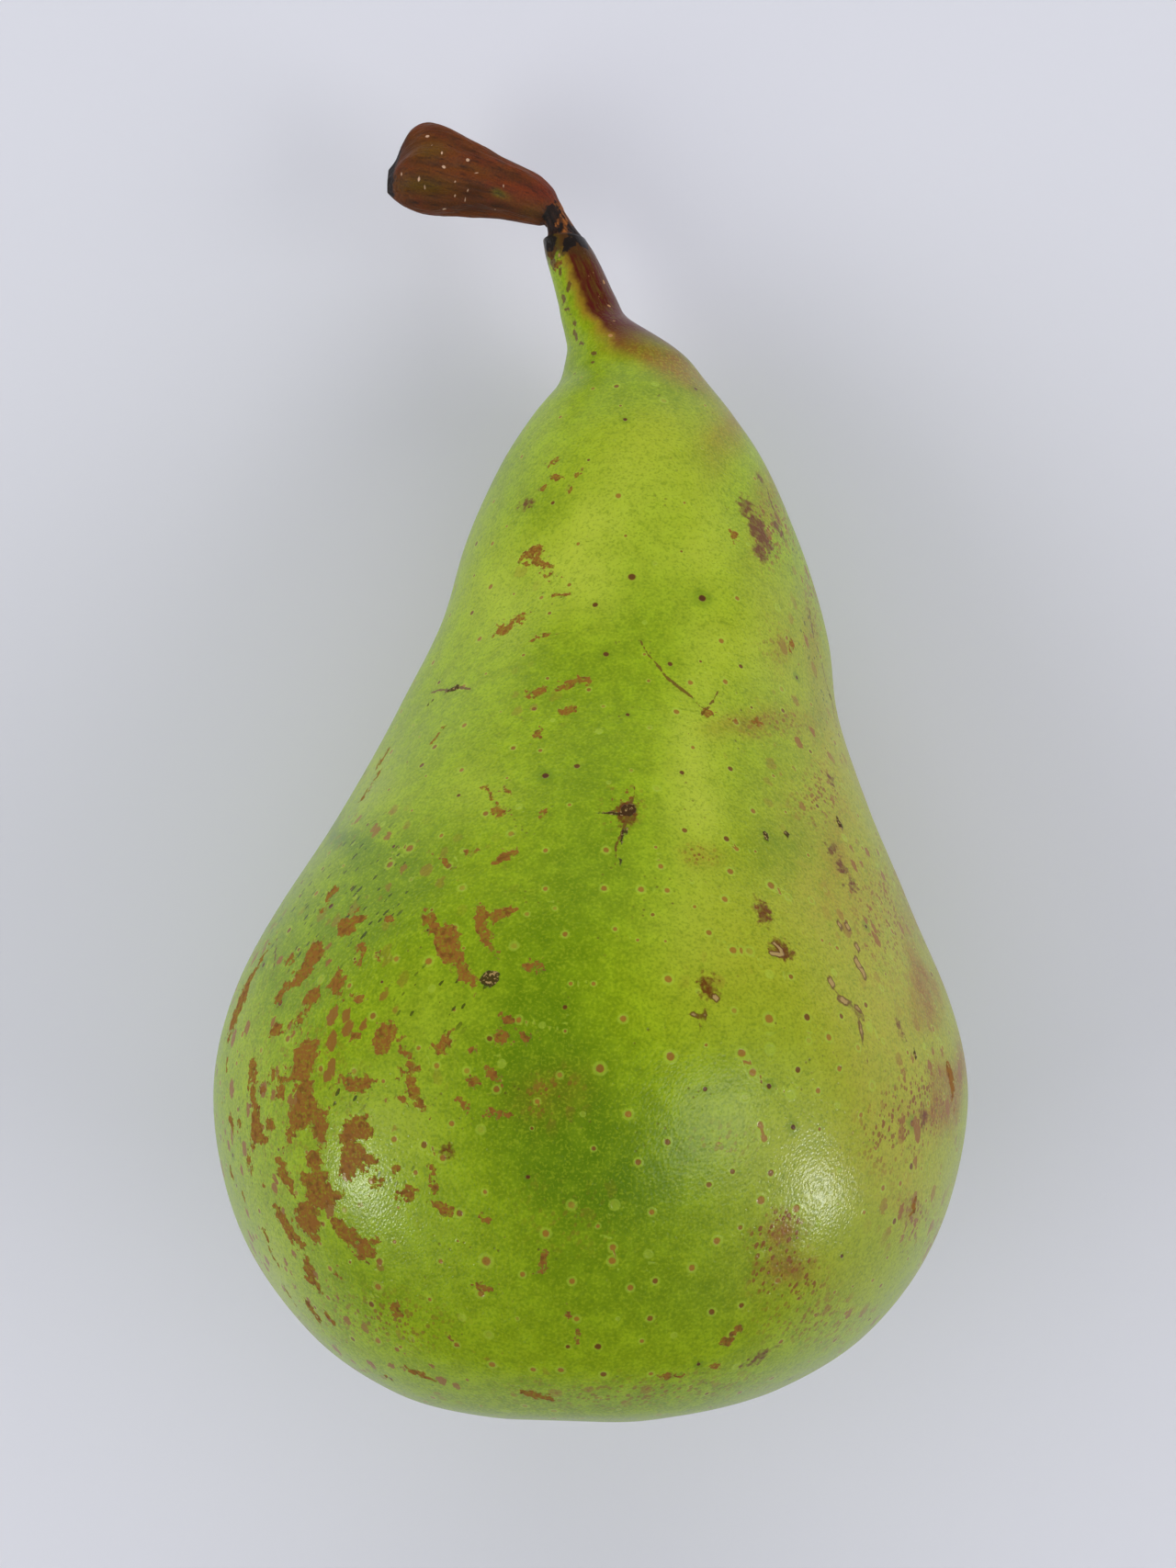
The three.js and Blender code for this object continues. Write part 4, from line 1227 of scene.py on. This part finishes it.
        # Colours from the bottom up, each where the product of its masks says.
        colour: object = linear(look.mid)
        for names, tint in (
            (("ripe",), look.fresh),
            # Partly painted highlight: the pale wash lightens the neck, the waist's streak and the belly's
            # sides.
            (("pale", "pale_share"), look.pale),
            (("sunny", "sunny_share"), look.sunny),
            # Partly painted shade: the deep wash darkens the middle, which faces straight up.
            (("deep", "deep_share"), look.deep),
            (("blush", "blush_share"), look.blush),
            (("deep_fleck",), look.deep),
            (("pale_grain",), look.glimmer),
            (("dark_grain",), look.deep),
            (("shade", "shaded"), look.deep),
            (("halo", "haloed"), look.ring),
            (("core", "cored"), look.core),
            (("core", "core_toned"), look.core_dark),
            (("foot", "amber_in", "amber_out"), look.foot_amber),
            (("foot", "red", "red_strand"), look.foot_red),
            (("speck", "speck_patch"), look.core_dark),
            (("pits", "pit_zone"), look.pit),
            (("stipple", "stipple_zone"), look.stipple),
            (("flecks", "fleck_zone"), look.russet),
            (("bruised", "bruise_share"), look.bruise),
            (("corky", "corky_share"), look.russet),
            (("corky", "corky_dark"), look.russet_dark),
            (("cracked",), look.russet_dark),
            (("scratched",), look.scratch),
            (("collar_brown",), look.collar),
            (("speckled",), look.pale_speck),
            (("charred",), look.char),
            (("scar_edge",), look.russet_dark),
            (("scarred",), look.scar),
            (("scabby",), look.scab),
            (("scabby", "scab_chip"), look.scar),
        ):
            factor = mask[names[0]]
            for name in names[1:]:
                factor = nodes.add("ShaderNodeMath", MULTIPLY, i0=factor, i1=mask[name])
            colour = nodes.add("ShaderNodeMix", COLOURS, factor=factor, a=colour, b=linear(tint)).outputs[2]

        # Heights in millimetres: corky marks stand proud, pores are low rings, the wax has a fine grain.
        height: object = 0.0
        for name, rise in (
            ("wax", 0.013), ("grain", 0.006), ("mottle", 0.04), ("halo", 0.01), ("core", -0.02),
            ("speck", -0.02), ("scabby", 0.1), ("scarred", 0.07), ("corky", 0.03), ("cracked", -0.03),
        ):
            height = nodes.add("ShaderNodeMath", MULTIPLY_ADD, i0=mask[name], i1=rise, i2=height)
        bump = nodes.add("ShaderNodeBump", strength=1.0, distance=METRE, height=height)

        # Cork, scabs and scars are rougher than the skin and have almost no wax.
        rough: object = mask["matt"]
        waxed: object = look.coat
        for name in ("corky", "scabby", "scarred"):
            rough = nodes.add("ShaderNodeMath", MULTIPLY_ADD, i0=mask[name], i1=0.3, i2=rough)
            waxed = nodes.add("ShaderNodeMath", MULTIPLY_ADD, i0=mask[name], i1=-0.4, i2=waxed)
        shader = nodes.add("ShaderNodeBsdfPrincipled", base_color=colour, roughness=rough, normal=bump,
                           coat_weight=waxed, coat_normal=bump)
        shader.inputs["Specular IOR Level"].default_value = look.specular
        shader.inputs["Coat Roughness"].default_value = look.coat_roughness
        nodes.tree.links.new(shader.outputs[0], nodes.output.inputs["Surface"])
        return nodes.material


@dataclass(frozen=True)
class BarkFinish:
    """Dried pear stalk: shrunken bark over wood fibres, brown and leathery.

    The wrinkles give the eye long dull streaks, and the bare wood at the wrist a splintered look. Painted
    shade darkens the grooves of the wrinkles, folds and grain, and the gaps between the bare strands.
    """

    brown: str = "#6E370E"
    olive: str = "#664A08"
    red: str = "#7E2E10"
    # Dark bark, also used as painted shade in the grooves and between the bare strands.
    dark: str = "#2C1B12"
    black: str = "#1B1818"
    wood: str = "#9C5A24"
    green: str = "#84801C"
    pale: str = "#D8B090"
    roughness: float = 0.58
    specular: float = 0.22


# Marks and shades of the stalk, by the name of the value that holds them.
BARK_MARKS = {
    "pale_fleck": (
        Fleck(465, 148, 0.45, 0.3, 0, 0.05), Fleck(481, 166, 0.5, 0.25, 80, 0.05),
        Fleck(509, 174, 0.4, 0.35, 0, 0.05), Fleck(483, 182, 0.45, 0.25, -30, 0.05),
        Fleck(456, 195, 0.6, 0.25, 80, 0.05), Fleck(462, 204, 0.5, 0.14, 85, 0.03),
        Fleck(495, 198, 0.3, 0.2, 80, 0.03), Fleck(495, 213, 0.45, 0.2, 85, 0.05),
        Fleck(509, 207, 0.5, 0.2, 80, 0.05), Fleck(506, 217, 0.5, 0.12, 80, 0.03),
        Fleck(484, 228, 0.4, 0.3, 10, 0.05), Fleck(548, 202, 0.4, 0.14, 85, 0.03),
        Fleck(539, 228, 0.3, 0.16, 80, 0.03), Fleck(437, 190, 0.4, 0.16, 80, 0.05),
        Fleck(518, 188, 0.4, 0.12, 20, 0.05), Fleck(470, 158, 0.3, 0.12, 60, 0.03),
        Fleck(528, 240, 0.25, 0.14, 0, 0.03),
    ),
    "charred": (
        Fleck(599, 238, 2.9, 1.3, 80, 0.5), Fleck(598, 258, 2.2, 1.5, 60, 0.4),
        Fleck(629, 254, 2.6, 1.9, -30, 0.5), Fleck(622, 262, 1.6, 1.0, 0, 0.4),
        Fleck(636, 256, 1.8, 1.3, 60, 0.3), Fleck(610, 246, 1.6, 0.4, 75, 0.4),
        Fleck(592, 250, 1.2, 0.7, 80, 0.2), Fleck(423, 201, 3.4, 1.6, 75, 0.5),
        Fleck(429, 180, 2.6, 1.2, 60, 0.5), Fleck(606, 224, 1.4, 0.4, -60, 0.3),
        Fleck(617, 240, 1.6, 0.3, -60, 0.3),
    ),
}
BARK_CLOUDS = {
    "olive": (
        Cloud(472, 160, 20, 9, 0.7), Cloud(466, 203, 30, 17, 0.9), Cloud(571, 229, 14, 8, 0.5),
        Cloud(520, 178, 30, 8, 0.3),
    ),
    "red": (
        Cloud(592, 202, 18, 18, 0.9), Cloud(560, 200, 24, 14, 0.5), Cloud(527, 168, 30, 8, 0.4),
        Cloud(505, 184, 24, 6, 0.4),
    ),
    "dark": (
        Cloud(512, 214, 14, 12, 0.45), Cloud(540, 232, 40, 6, 0.5), Cloud(441, 158, 8, 14, 0.6),
        Cloud(430, 180, 8, 22, 0.6), Cloud(590, 236, 10, 12, 0.6), Cloud(470, 232, 40, 6, 0.4),
        Cloud(500, 152, 60, 5, 0.35, 25), Cloud(575, 190, 40, 5, 0.35, 32),
    ),
    "green": (Cloud(545, 212, 6, 7, 0.8),),
}


@dataclass
class Stalk(Grown):
    """The dried stalk past the dark ring.

    Its root is sunk into the end of the foot, and its bark ends at a share of its length. Depths are
    in millimetres.
    """

    form: PearForm
    finish: BarkFinish
    rows: int = 300
    columns: int = 180
    bark_edge: float = 0.16
    root_depth: float = 0.4
    root_inset: float = 0.3

    def __post_init__(self) -> None:
        """Works out the stalk's grid in the row frame."""
        first_upper, _, first_lower, _, *first_rise = STALK_SECTIONS[0]
        sunk = FOOT_END_STATION - self.root_depth
        root = (first_upper - self.root_inset, sunk, first_lower + self.root_inset, sunk, *first_rise)
        curve = spline((root, *STALK_SECTIONS))
        middle = np.stack([(curve[:, 0] + curve[:, 2]) / 2, (curve[:, 1] + curve[:, 3]) / 2], axis=1)
        rows = evenly(curve, middle, self.rows)
        self.length = float(np.linalg.norm(np.diff(middle, axis=0), axis=1).sum())
        self.share = np.linspace(0, 1, self.rows)[:, None]
        self.angle = np.linspace(0, 2 * np.pi, self.columns, endpoint=False)[None]
        reach = self.wrinkles()
        upper_across, upper, lower_across, lower, height, half_depth = (rows[:, k:k + 1] for k in range(6))
        swing = reach * np.cos(self.angle)
        across = (upper_across + lower_across) / 2 + (upper_across - lower_across) / 2 * swing
        station = (upper + lower) / 2 + (upper - lower) / 2 * swing
        rise = height + half_depth * reach * np.sin(self.angle)
        grid = self.form.in_frame(np.stack([across, station, rise], axis=-1))
        self.settle(held_in(grid, "stalk"))

    def wrinkles(self) -> np.ndarray:
        """Reach of each point as a share of the plain ellipse.

        It is 1 + folds - cleft - wrist as in the solid, plus finer folds of noise drawn out along the
        stalk, and a step down from the bark's ragged edge to the bare wood.

        Returns:
            The reach, for each row and column.
        """
        share, angle = self.share, self.angle
        folds = 0.04 * np.sin(5 * angle + 6 * share) + 0.03 * np.sin(9 * angle - 9 * share + 1)
        cleft = 0.22 * bell(share, 0.92, 0.12) * bell(np.cos(angle - 1.15), 1, 0.12)
        wrist = 0.14 * ramp(0.21 - share, 0, 0.04) * ramp(share, 0, 0.06)
        round_it = [1.6 * np.cos(angle) + 0 * share, 1.6 * np.sin(angle) + 0 * share]
        drawn = np.stack([*round_it, 2.5 * share + 0 * angle], axis=-1)
        fine = 0.035 * layered_noise(drawn, 0.45, 81) + 0.02 * layered_noise(drawn, 0.18, 91, 2)
        edge = self.bark_edge + 0.03 * lattice_noise(drawn, 0.3, 95)
        step = 0.05 * ramp(edge - share, 0, 0.012) * ramp(share, 0, 0.04)
        return 0.99 + folds * bell(share, 0.6, 0.4) - cleft - wrist + fine * ramp(share, 0.0, 0.1) - step

    def build(self) -> bpy.types.Object:
        """Makes the piece and dresses it.

        Returns:
            The finished object.
        """
        values = {
            "along": self.share + 0 * self.angle,
            "fibre": self.fibre_place(self.angle, self.share * self.length),
            **{name: self.marks(flecks, BARK_SEED) for name, flecks in BARK_MARKS.items()},
            **{name: self.clouded(clouds) for name, clouds in BARK_CLOUDS.items()},
        }
        surface = Surface(self.grid, self.grid[0].mean(0), self.grid[-1].mean(0), values)
        piece = piece_from([surface], "dried_stalk")
        piece.data.materials.append(self.material())
        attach(piece, "root")
        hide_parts("stalk")
        LOG.info("dried stalk: %d points", len(piece.data.vertices))
        return piece

    def material(self) -> bpy.types.Material:
        """Leathery brown bark with long wrinkles and pale flecks, and bare wood below its edge, with painted
        shade in the grooves and between the strands.

        Returns:
            The material.
        """
        look = self.finish
        nodes = Nodes("dried_pear_bark")
        place = nodes.add("ShaderNodeTexCoord").outputs["Object"]
        mm = nodes.add("ShaderNodeVectorMath", SCALE, vector=place, scale=1000.0)
        fibre = nodes.add("ShaderNodeAttribute", {"attribute_name": "fibre"}).outputs["Vector"]

        # What the masks read: the piece's own values, and noise on its place or drawn out along it,
        # with the given number of features in a millimetre.
        mask = {}
        for name in ("along", *BARK_MARKS, *BARK_CLOUDS):
            mask[name] = nodes.add("ShaderNodeAttribute", {"attribute_name": name}).outputs["Fac"]
        for name, source, scale, detail in (
            ("mottle", mm, 0.9, 3.0), ("edge", mm, 2.5, 3.0), ("grain", mm, 6.0, 2.0),
            ("strand", fibre, 3.2, 3.0), ("fold", fibre, 1.3, 2.0),
        ):
            noise = nodes.add("ShaderNodeTexNoise", vector=source, scale=scale, detail=detail)
            mask[name] = noise.outputs["Fac"]
        ragged = nodes.add("ShaderNodeMath", SUBTRACT, i0=mask["edge"], i1=0.5)
        for name, share in (("charred", 0.8), ("pale_fleck", 0.15), ("along", 0.08)):
            mask[name] = nodes.add("ShaderNodeMath", MULTIPLY_ADD, i0=ragged, i1=share, i2=mask[name])

        # Each mask climbs smoothly: its name, what it reads, from, to, the value before and after.
        for name, source, low, high, before, after in (
            # Painted shade: the next three darken the grooves, where the strands, folds and grain raised
            # below are low.
            ("wrinkle_shade", "strand", 0.3, 0.46, 0.55, 0.0),
            ("fold_shade", "fold", 0.3, 0.5, 0.35, 0.0),
            ("grain_shade", "grain", 0.4, 0.62, 0.3, 0.0),
            ("red_patch", "mottle", 0.45, 0.7, 0.0, 0.35),
            ("bare", "along", self.bark_edge - 0.012, self.bark_edge + 0.012, 1.0, 0.0),
            # Painted shade between the bare wood's raised strands.
            ("bare_strand_shade", "strand", 0.42, 0.62, 0.85, 0.1),
            ("black_patch", "charred", -0.06, 0.12, 0.0, 0.92),
            ("pale_spot", "pale_fleck", -0.01, 0.05, 0.0, 0.85),
            ("matt", "mottle", 0.2, 0.8, look.roughness - 0.08, look.roughness + 0.08),
        ):
            step = nodes.add("ShaderNodeMapRange", SMOOTHSTEP, value=mask[source],
                             from_min=low, from_max=high, to_min=before, to_max=after)
            mask[name] = step.outputs["Result"]

        # Colours from the bottom up, each where the product of its masks says.
        colour: object = linear(look.brown)
        for names, tint in (
            (("red_patch",), look.red),
            (("red",), look.red),
            (("olive",), look.olive),
            (("green",), look.green),
            # Painted shade in the grooves of the folds, wrinkles and grain.
            (("fold_shade",), look.dark),
            (("wrinkle_shade",), look.dark),
            (("grain_shade",), look.dark),
            (("dark",), look.dark),
            (("bare",), look.wood),
            # Painted shade between the bare strands.
            (("bare", "bare_strand_shade"), look.dark),
            (("black_patch",), look.black),
            (("pale_spot",), look.pale),
        ):
            factor = mask[names[0]]
            for name in names[1:]:
                factor = nodes.add("ShaderNodeMath", MULTIPLY, i0=factor, i1=mask[name])
            colour = nodes.add("ShaderNodeMix", COLOURS, factor=factor, a=colour, b=linear(tint)).outputs[2]

        # Heights in millimetres: folds and strands stand proud, and charred bark has shrunk.
        height: object = 0.0
        for name, rise in (("strand", 0.16), ("fold", 0.2), ("grain", 0.04), ("pale_spot", 0.03),
                           ("black_patch", -0.05)):
            height = nodes.add("ShaderNodeMath", MULTIPLY_ADD, i0=mask[name], i1=rise, i2=height)
        bump = nodes.add("ShaderNodeBump", strength=1.0, distance=METRE, height=height)
        shader = nodes.add("ShaderNodeBsdfPrincipled", base_color=colour, roughness=mask["matt"], normal=bump)
        shader.inputs["Specular IOR Level"].default_value = look.specular
        nodes.tree.links.new(shader.outputs[0], nodes.output.inputs["Surface"])
        return nodes.material


@dataclass(frozen=True)
class CalyxFinish:
    """Withered sepals and stamens: papery, dark brown, dull, with no gloss that the eye can see."""

    brown: str = "#4A3322"
    dark: str = "#1E140D"
    tip: str = "#7C5E42"
    roughness: float = 0.85
    specular: float = 0.25


@dataclass
class Calyx:
    """The dried calyx in the hollow of the base: five curled sepals round a tuft of stamens.

    Lengths are in millimetres.
    """

    form: PearForm
    finish: CalyxFinish
    blade_rows: int = 44
    blade_columns: int = 28
    blade_half_width: float = 1.35
    blade_half_thickness: float = 0.13
    blade_root: float = 0.8
    stamens: int = 20
    stamen_rows: int = 14
    stamen_columns: int = 8
    stamen_radius: float = 0.1
    stamen_length: float = 1.5

    def __post_init__(self) -> None:
        """Seeds the stamens' places."""
        self.random = np.random.default_rng(17)

    def place(self, radius: np.ndarray, angle: np.ndarray, rise: np.ndarray) -> np.ndarray:
        """Points at a radius and angle round the axis, a rise above the floor of the hollow."""
        basin = tuple((radius, station) for station, radius in PROFILE[:HOLLOW_POINTS])
        return self.form.in_frame(self.form.fruit_points(read(basin, radius) - rise, radius, angle))

    def closed(self, grid: np.ndarray, share: np.ndarray) -> Surface:
        """Makes a surface from a grid whose first and last ring close on their middles, faces outward.

        Args:
            grid: the rings.
            share: how far along each ring is, from 0 to 1.

        Returns:
            The surface, with the share kept at its points.
        """
        start, end = grid[0].mean(0), grid[-1].mean(0)
        along = np.gradient(grid, axis=0)
        around = np.roll(grid, -1, axis=1) - np.roll(grid, 1, axis=1)
        out = grid - grid.mean(1, keepdims=True)
        if (np.cross(along, around) * out).sum() < 0:
            grid = grid[:, ::-1]
        return Surface(grid, start, end, {"along": share + np.zeros(grid.shape[:2])})

    def sepal(self, turn: float) -> Surface:
        """One sepal: a blade that lies on the floor of the hollow and curls up to a point.

        At share s its middle is between the radii of its root and its reach, and its half width is the
        widest one times (1 - 0.985 s)^0.55 (0.62 + 0.38 sin(pi s)), crumpled by an eighth. Above the gap
        it rises by 0.12 + 0.55 s^3, by a further 0.25 near its root, and towards its sides by a cup of
        0.14 with small waves.

        Args:
            turn: the sepal's direction round the axis, in radians.

        Returns:
            The blade's surface.
        """
        share = np.linspace(0, 1, self.blade_rows)[:, None]
        round_it = np.linspace(0, 2 * np.pi, self.blade_columns, endpoint=False)[None]
        narrowing = (1 - 0.985 * share) ** 0.55 * (0.62 + 0.38 * np.sin(np.pi * share))
        crumple = 1 + 0.12 * np.sin(11 * share + 5 * turn)
        side = self.blade_half_width * narrowing * crumple * np.cos(round_it)
        thick = self.blade_half_thickness * (0.3 + 0.7 * narrowing) * np.sin(round_it)
        middle = self.blade_root + (SEPAL_REACH - self.blade_root) * share
        sway = 0.35 * np.sin(2.5 * share + 3 * turn) * share
        radius = np.hypot(middle, side + sway)
        angle = turn + np.arctan2(side + sway, middle)
        aside = side / self.blade_half_width
        cup = 0.14 * aside**2 + 0.05 * np.sin(6 * aside + 9 * share)
        rise = GAP + 0.12 + 0.25 * ramp(share, 0.5, 0.0) + 0.55 * share**3 + cup + thick
        return self.closed(self.place(radius, angle, rise), share)

    def stamen(self) -> Surface:
        """One withered stamen: a thin bent thread that ends in a small swelling.

        At share s it stands at radius foot + lean s^1.5 and angle turn + twist s^2, and rises by
        length times s (1 - 0.25 s |lean|).

        Returns:
            The thread's surface.
        """
        share = np.linspace(0, 1, self.stamen_rows)[:, None]
        round_it = np.linspace(0, 2 * np.pi, self.stamen_columns, endpoint=False)[None]
        foot, turn = self.random.uniform(0.1, 1.15), self.random.uniform(0, 2 * np.pi)
        lean, twist = self.random.uniform(-0.2, 0.9), self.random.uniform(-0.8, 0.8)
        length = self.stamen_length * self.random.uniform(0.55, 1.0)
        swelling = (0.7 + 0.9 * bell(share, 0.9, 0.12)) * (1 - 0.8 * ramp(share, 0.93, 1.0))
        thread = self.stamen_radius * swelling
        radius = foot + lean * share**1.5 + thread * np.cos(round_it)
        angle = turn + twist * share**2 + thread * np.sin(round_it) / (foot + 0.4)
        rise = GAP + 0.15 + length * share * (1 - 0.25 * share * abs(lean))
        return self.closed(self.place(np.abs(radius), angle, rise + 0 * radius), 0.3 + 0.7 * share)

    def build(self) -> bpy.types.Object:
        """Makes the piece and dresses it.

        Returns:
            The finished object.
        """
        turns = np.arange(SEPAL_COUNT) * 2 * np.pi / SEPAL_COUNT
        surfaces = [self.sepal(turn) for turn in turns] + [self.stamen() for _ in range(self.stamens)]
        whole = np.vstack([s.rings.reshape(-1, 3) for s in surfaces])
        squeezed = held_in(whole, "calyx")
        start = 0
        for surface in surfaces:
            count = surface.rings[..., 0].size
            surface.rings = squeezed[start:start + count].reshape(surface.rings.shape)
            surface.start, surface.end = surface.rings[0].mean(0), surface.rings[-1].mean(0)
            start += count
        piece = piece_from(surfaces, "dried_calyx")
        piece.data.materials.append(self.material())
        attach(piece, "root")
        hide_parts("calyx")
        LOG.info("dried calyx: %d points", len(piece.data.vertices))
        return piece

    def material(self) -> bpy.types.Material:
        """Dull papery brown, darker in blotches and paler towards the tips.

        Returns:
            The material.
        """
        look = self.finish
        nodes = Nodes("dried_pear_calyx")
        place = nodes.add("ShaderNodeTexCoord").outputs["Object"]
        mm = nodes.add("ShaderNodeVectorMath", SCALE, vector=place, scale=1000.0)
        along = nodes.add("ShaderNodeAttribute", {"attribute_name": "along"}).outputs["Fac"]

        # Blotches about 0.8 mm across, and a grain of 0.2 mm.
        blotch = nodes.add("ShaderNodeTexNoise", vector=mm, scale=1.2, detail=4.0).outputs["Fac"]
        fine = nodes.add("ShaderNodeTexNoise", vector=mm, scale=5.0, detail=3.0).outputs["Fac"]
        tip = nodes.add("ShaderNodeMapRange", SMOOTHSTEP, value=along,
                        from_min=0.55, from_max=1.0, to_max=0.7)
        dark = nodes.add("ShaderNodeMapRange", SMOOTHSTEP, value=blotch, from_min=0.35, from_max=0.65)
        colour = nodes.add("ShaderNodeMix", COLOURS, factor=tip, a=linear(look.brown), b=linear(look.tip))
        colour = nodes.add("ShaderNodeMix", COLOURS, factor=dark, a=linear(look.dark), b=colour.outputs[2])
        height = nodes.add("ShaderNodeMath", MULTIPLY_ADD, i0=fine, i1=0.12, i2=0.0)
        bump = nodes.add("ShaderNodeBump", strength=1.0, distance=METRE, height=height)
        shader = nodes.add("ShaderNodeBsdfPrincipled", base_color=colour.outputs[2], roughness=look.roughness,
                           normal=bump)
        shader.inputs["Specular IOR Level"].default_value = look.specular
        nodes.tree.links.new(shader.outputs[0], nodes.output.inputs["Surface"])
        return nodes.material


@dataclass(frozen=True)
class Lamp:
    """A rectangular light: its place and size in metres, and its power in watts.

    It either mirrors in the skin as a bright pane, or lights everything softly as the whole window.
    """

    name: str
    place: tuple[float, float, float]
    width: float
    height: float
    watts: float
    glints: bool


# Windows light the skin and the paper softly. Panes, and the patch of ceiling, only mirror in the skin.
LAMPS = (
    Lamp("window_right", (0.60, -0.10, 0.40), 0.60, 0.45, 1.9, False),
    Lamp("pane_right", (0.618, -0.205, 0.236), 0.10, 0.14, 1.2, True),
    Lamp("ceiling_right", (0.335, -0.045, 0.557), 0.22, 0.34, 0.9, True),
    Lamp("window_left", (-0.52, -0.12, 0.44), 0.60, 0.45, 1.8, False),
    Lamp("pane_left", (-0.580, -0.205, 0.36), 0.12, 0.16, 1.4, True),
    Lamp("window_far", (0.0, 1.05, 0.42), 1.4, 0.5, 6.0, False),
)


@dataclass
class Studio:
    """White paper, soft light and the camera of the picture. Lengths are in metres."""

    form: PearForm
    paper_half: float = 3.0
    paper_colour: str = "#E3E3EA"
    room_colour: str = "#E0E3EC"
    aim: tuple[float, float, float] = (0.0, 0.0, 0.03)

    def paper(self) -> bpy.types.Object:
        """Lays out white paper, far wider than the view.

        Returns:
            The paper's object.
        """
        mesh = bpy.data.meshes.new("paper")
        half = self.paper_half
        corners = [(-half, -half, 0), (half, -half, 0), (half, half, 0), (-half, half, 0)]
        mesh.from_pydata(corners, [], [(0, 1, 2, 3)])
        nodes = Nodes("white_paper")
        shader = nodes.add("ShaderNodeBsdfPrincipled", base_color=linear(self.paper_colour), roughness=0.9)
        nodes.tree.links.new(shader.outputs[0], nodes.output.inputs["Surface"])
        mesh.materials.append(nodes.material)
        paper = bpy.data.objects.new("paper", mesh)
        bpy.context.scene.collection.objects.link(paper)
        return paper

    def lamp(self, lamp: Lamp) -> None:
        """Hangs a white area light that faces the pear.

        Args:
            lamp: what to hang, and where.
        """
        light = bpy.data.lights.new(lamp.name, "AREA")
        light.shape = "RECTANGLE"
        light.size = lamp.width
        light.size_y = lamp.height
        light.energy = lamp.watts
        hung = bpy.data.objects.new(lamp.name, light)
        hung.location = lamp.place
        facing = Vector(self.aim) - Vector(lamp.place)
        hung.rotation_euler = facing.to_track_quat("-Z", "Y").to_euler()
        hung.visible_glossy = lamp.glints
        hung.visible_diffuse = not lamp.glints
        bpy.context.scene.collection.objects.link(hung)

    def light(self) -> None:
        """Lights the pear: the lamps, in a pale room that is dimmer overhead and doesn't mirror."""
        for lamp in LAMPS:
            self.lamp(lamp)
        world = bpy.data.worlds.new("room")
        world.use_nodes = True
        tree = world.node_tree
        way = tree.nodes.new("ShaderNodeTexCoord")
        split = tree.nodes.new("ShaderNodeSeparateXYZ")
        climb = tree.nodes.new("ShaderNodeMapRange")
        climb.interpolation_type = "SMOOTHSTEP"
        for key, number in (("From Min", 0.45), ("From Max", 0.92), ("To Min", 0.66), ("To Max", 0.4)):
            climb.inputs[key].default_value = number
        background = tree.nodes["Background"]
        background.inputs["Color"].default_value = linear(self.room_colour)
        tree.links.new(way.outputs["Generated"], split.inputs[0])
        tree.links.new(split.outputs["Z"], climb.inputs["Value"])
        tree.links.new(climb.outputs[0], background.inputs["Strength"])
        world.cycles_visibility.glossy = False
        bpy.context.scene.world = world
        bpy.context.scene.view_settings.view_transform = "Standard"

    def camera(self) -> None:
        """The camera: straight down, its long side along the pear."""
        data = bpy.data.cameras.new("camera")
        data.sensor_width = SENSOR_MM
        data.lens = FOCAL_PIXELS / PICTURE_HEIGHT * SENSOR_MM
        data.clip_start = 0.01
        camera = bpy.data.objects.new("camera", data)
        camera.location = tuple(self.form.camera_place() * METRE)
        bpy.context.scene.collection.objects.link(camera)
        bpy.context.scene.camera = camera


def main() -> None:
    logging.basicConfig(level=logging.INFO, format="%(name)s: %(message)s")
    form = PearForm()
    studio = Studio(form)
    studio.camera()
    studio.paper()
    studio.light()
    Skin(form, SkinFinish()).build()
    Stalk(form, BarkFinish()).build()
    Calyx(form, CalyxFinish()).build()


if __name__ == "__main__":
    main()
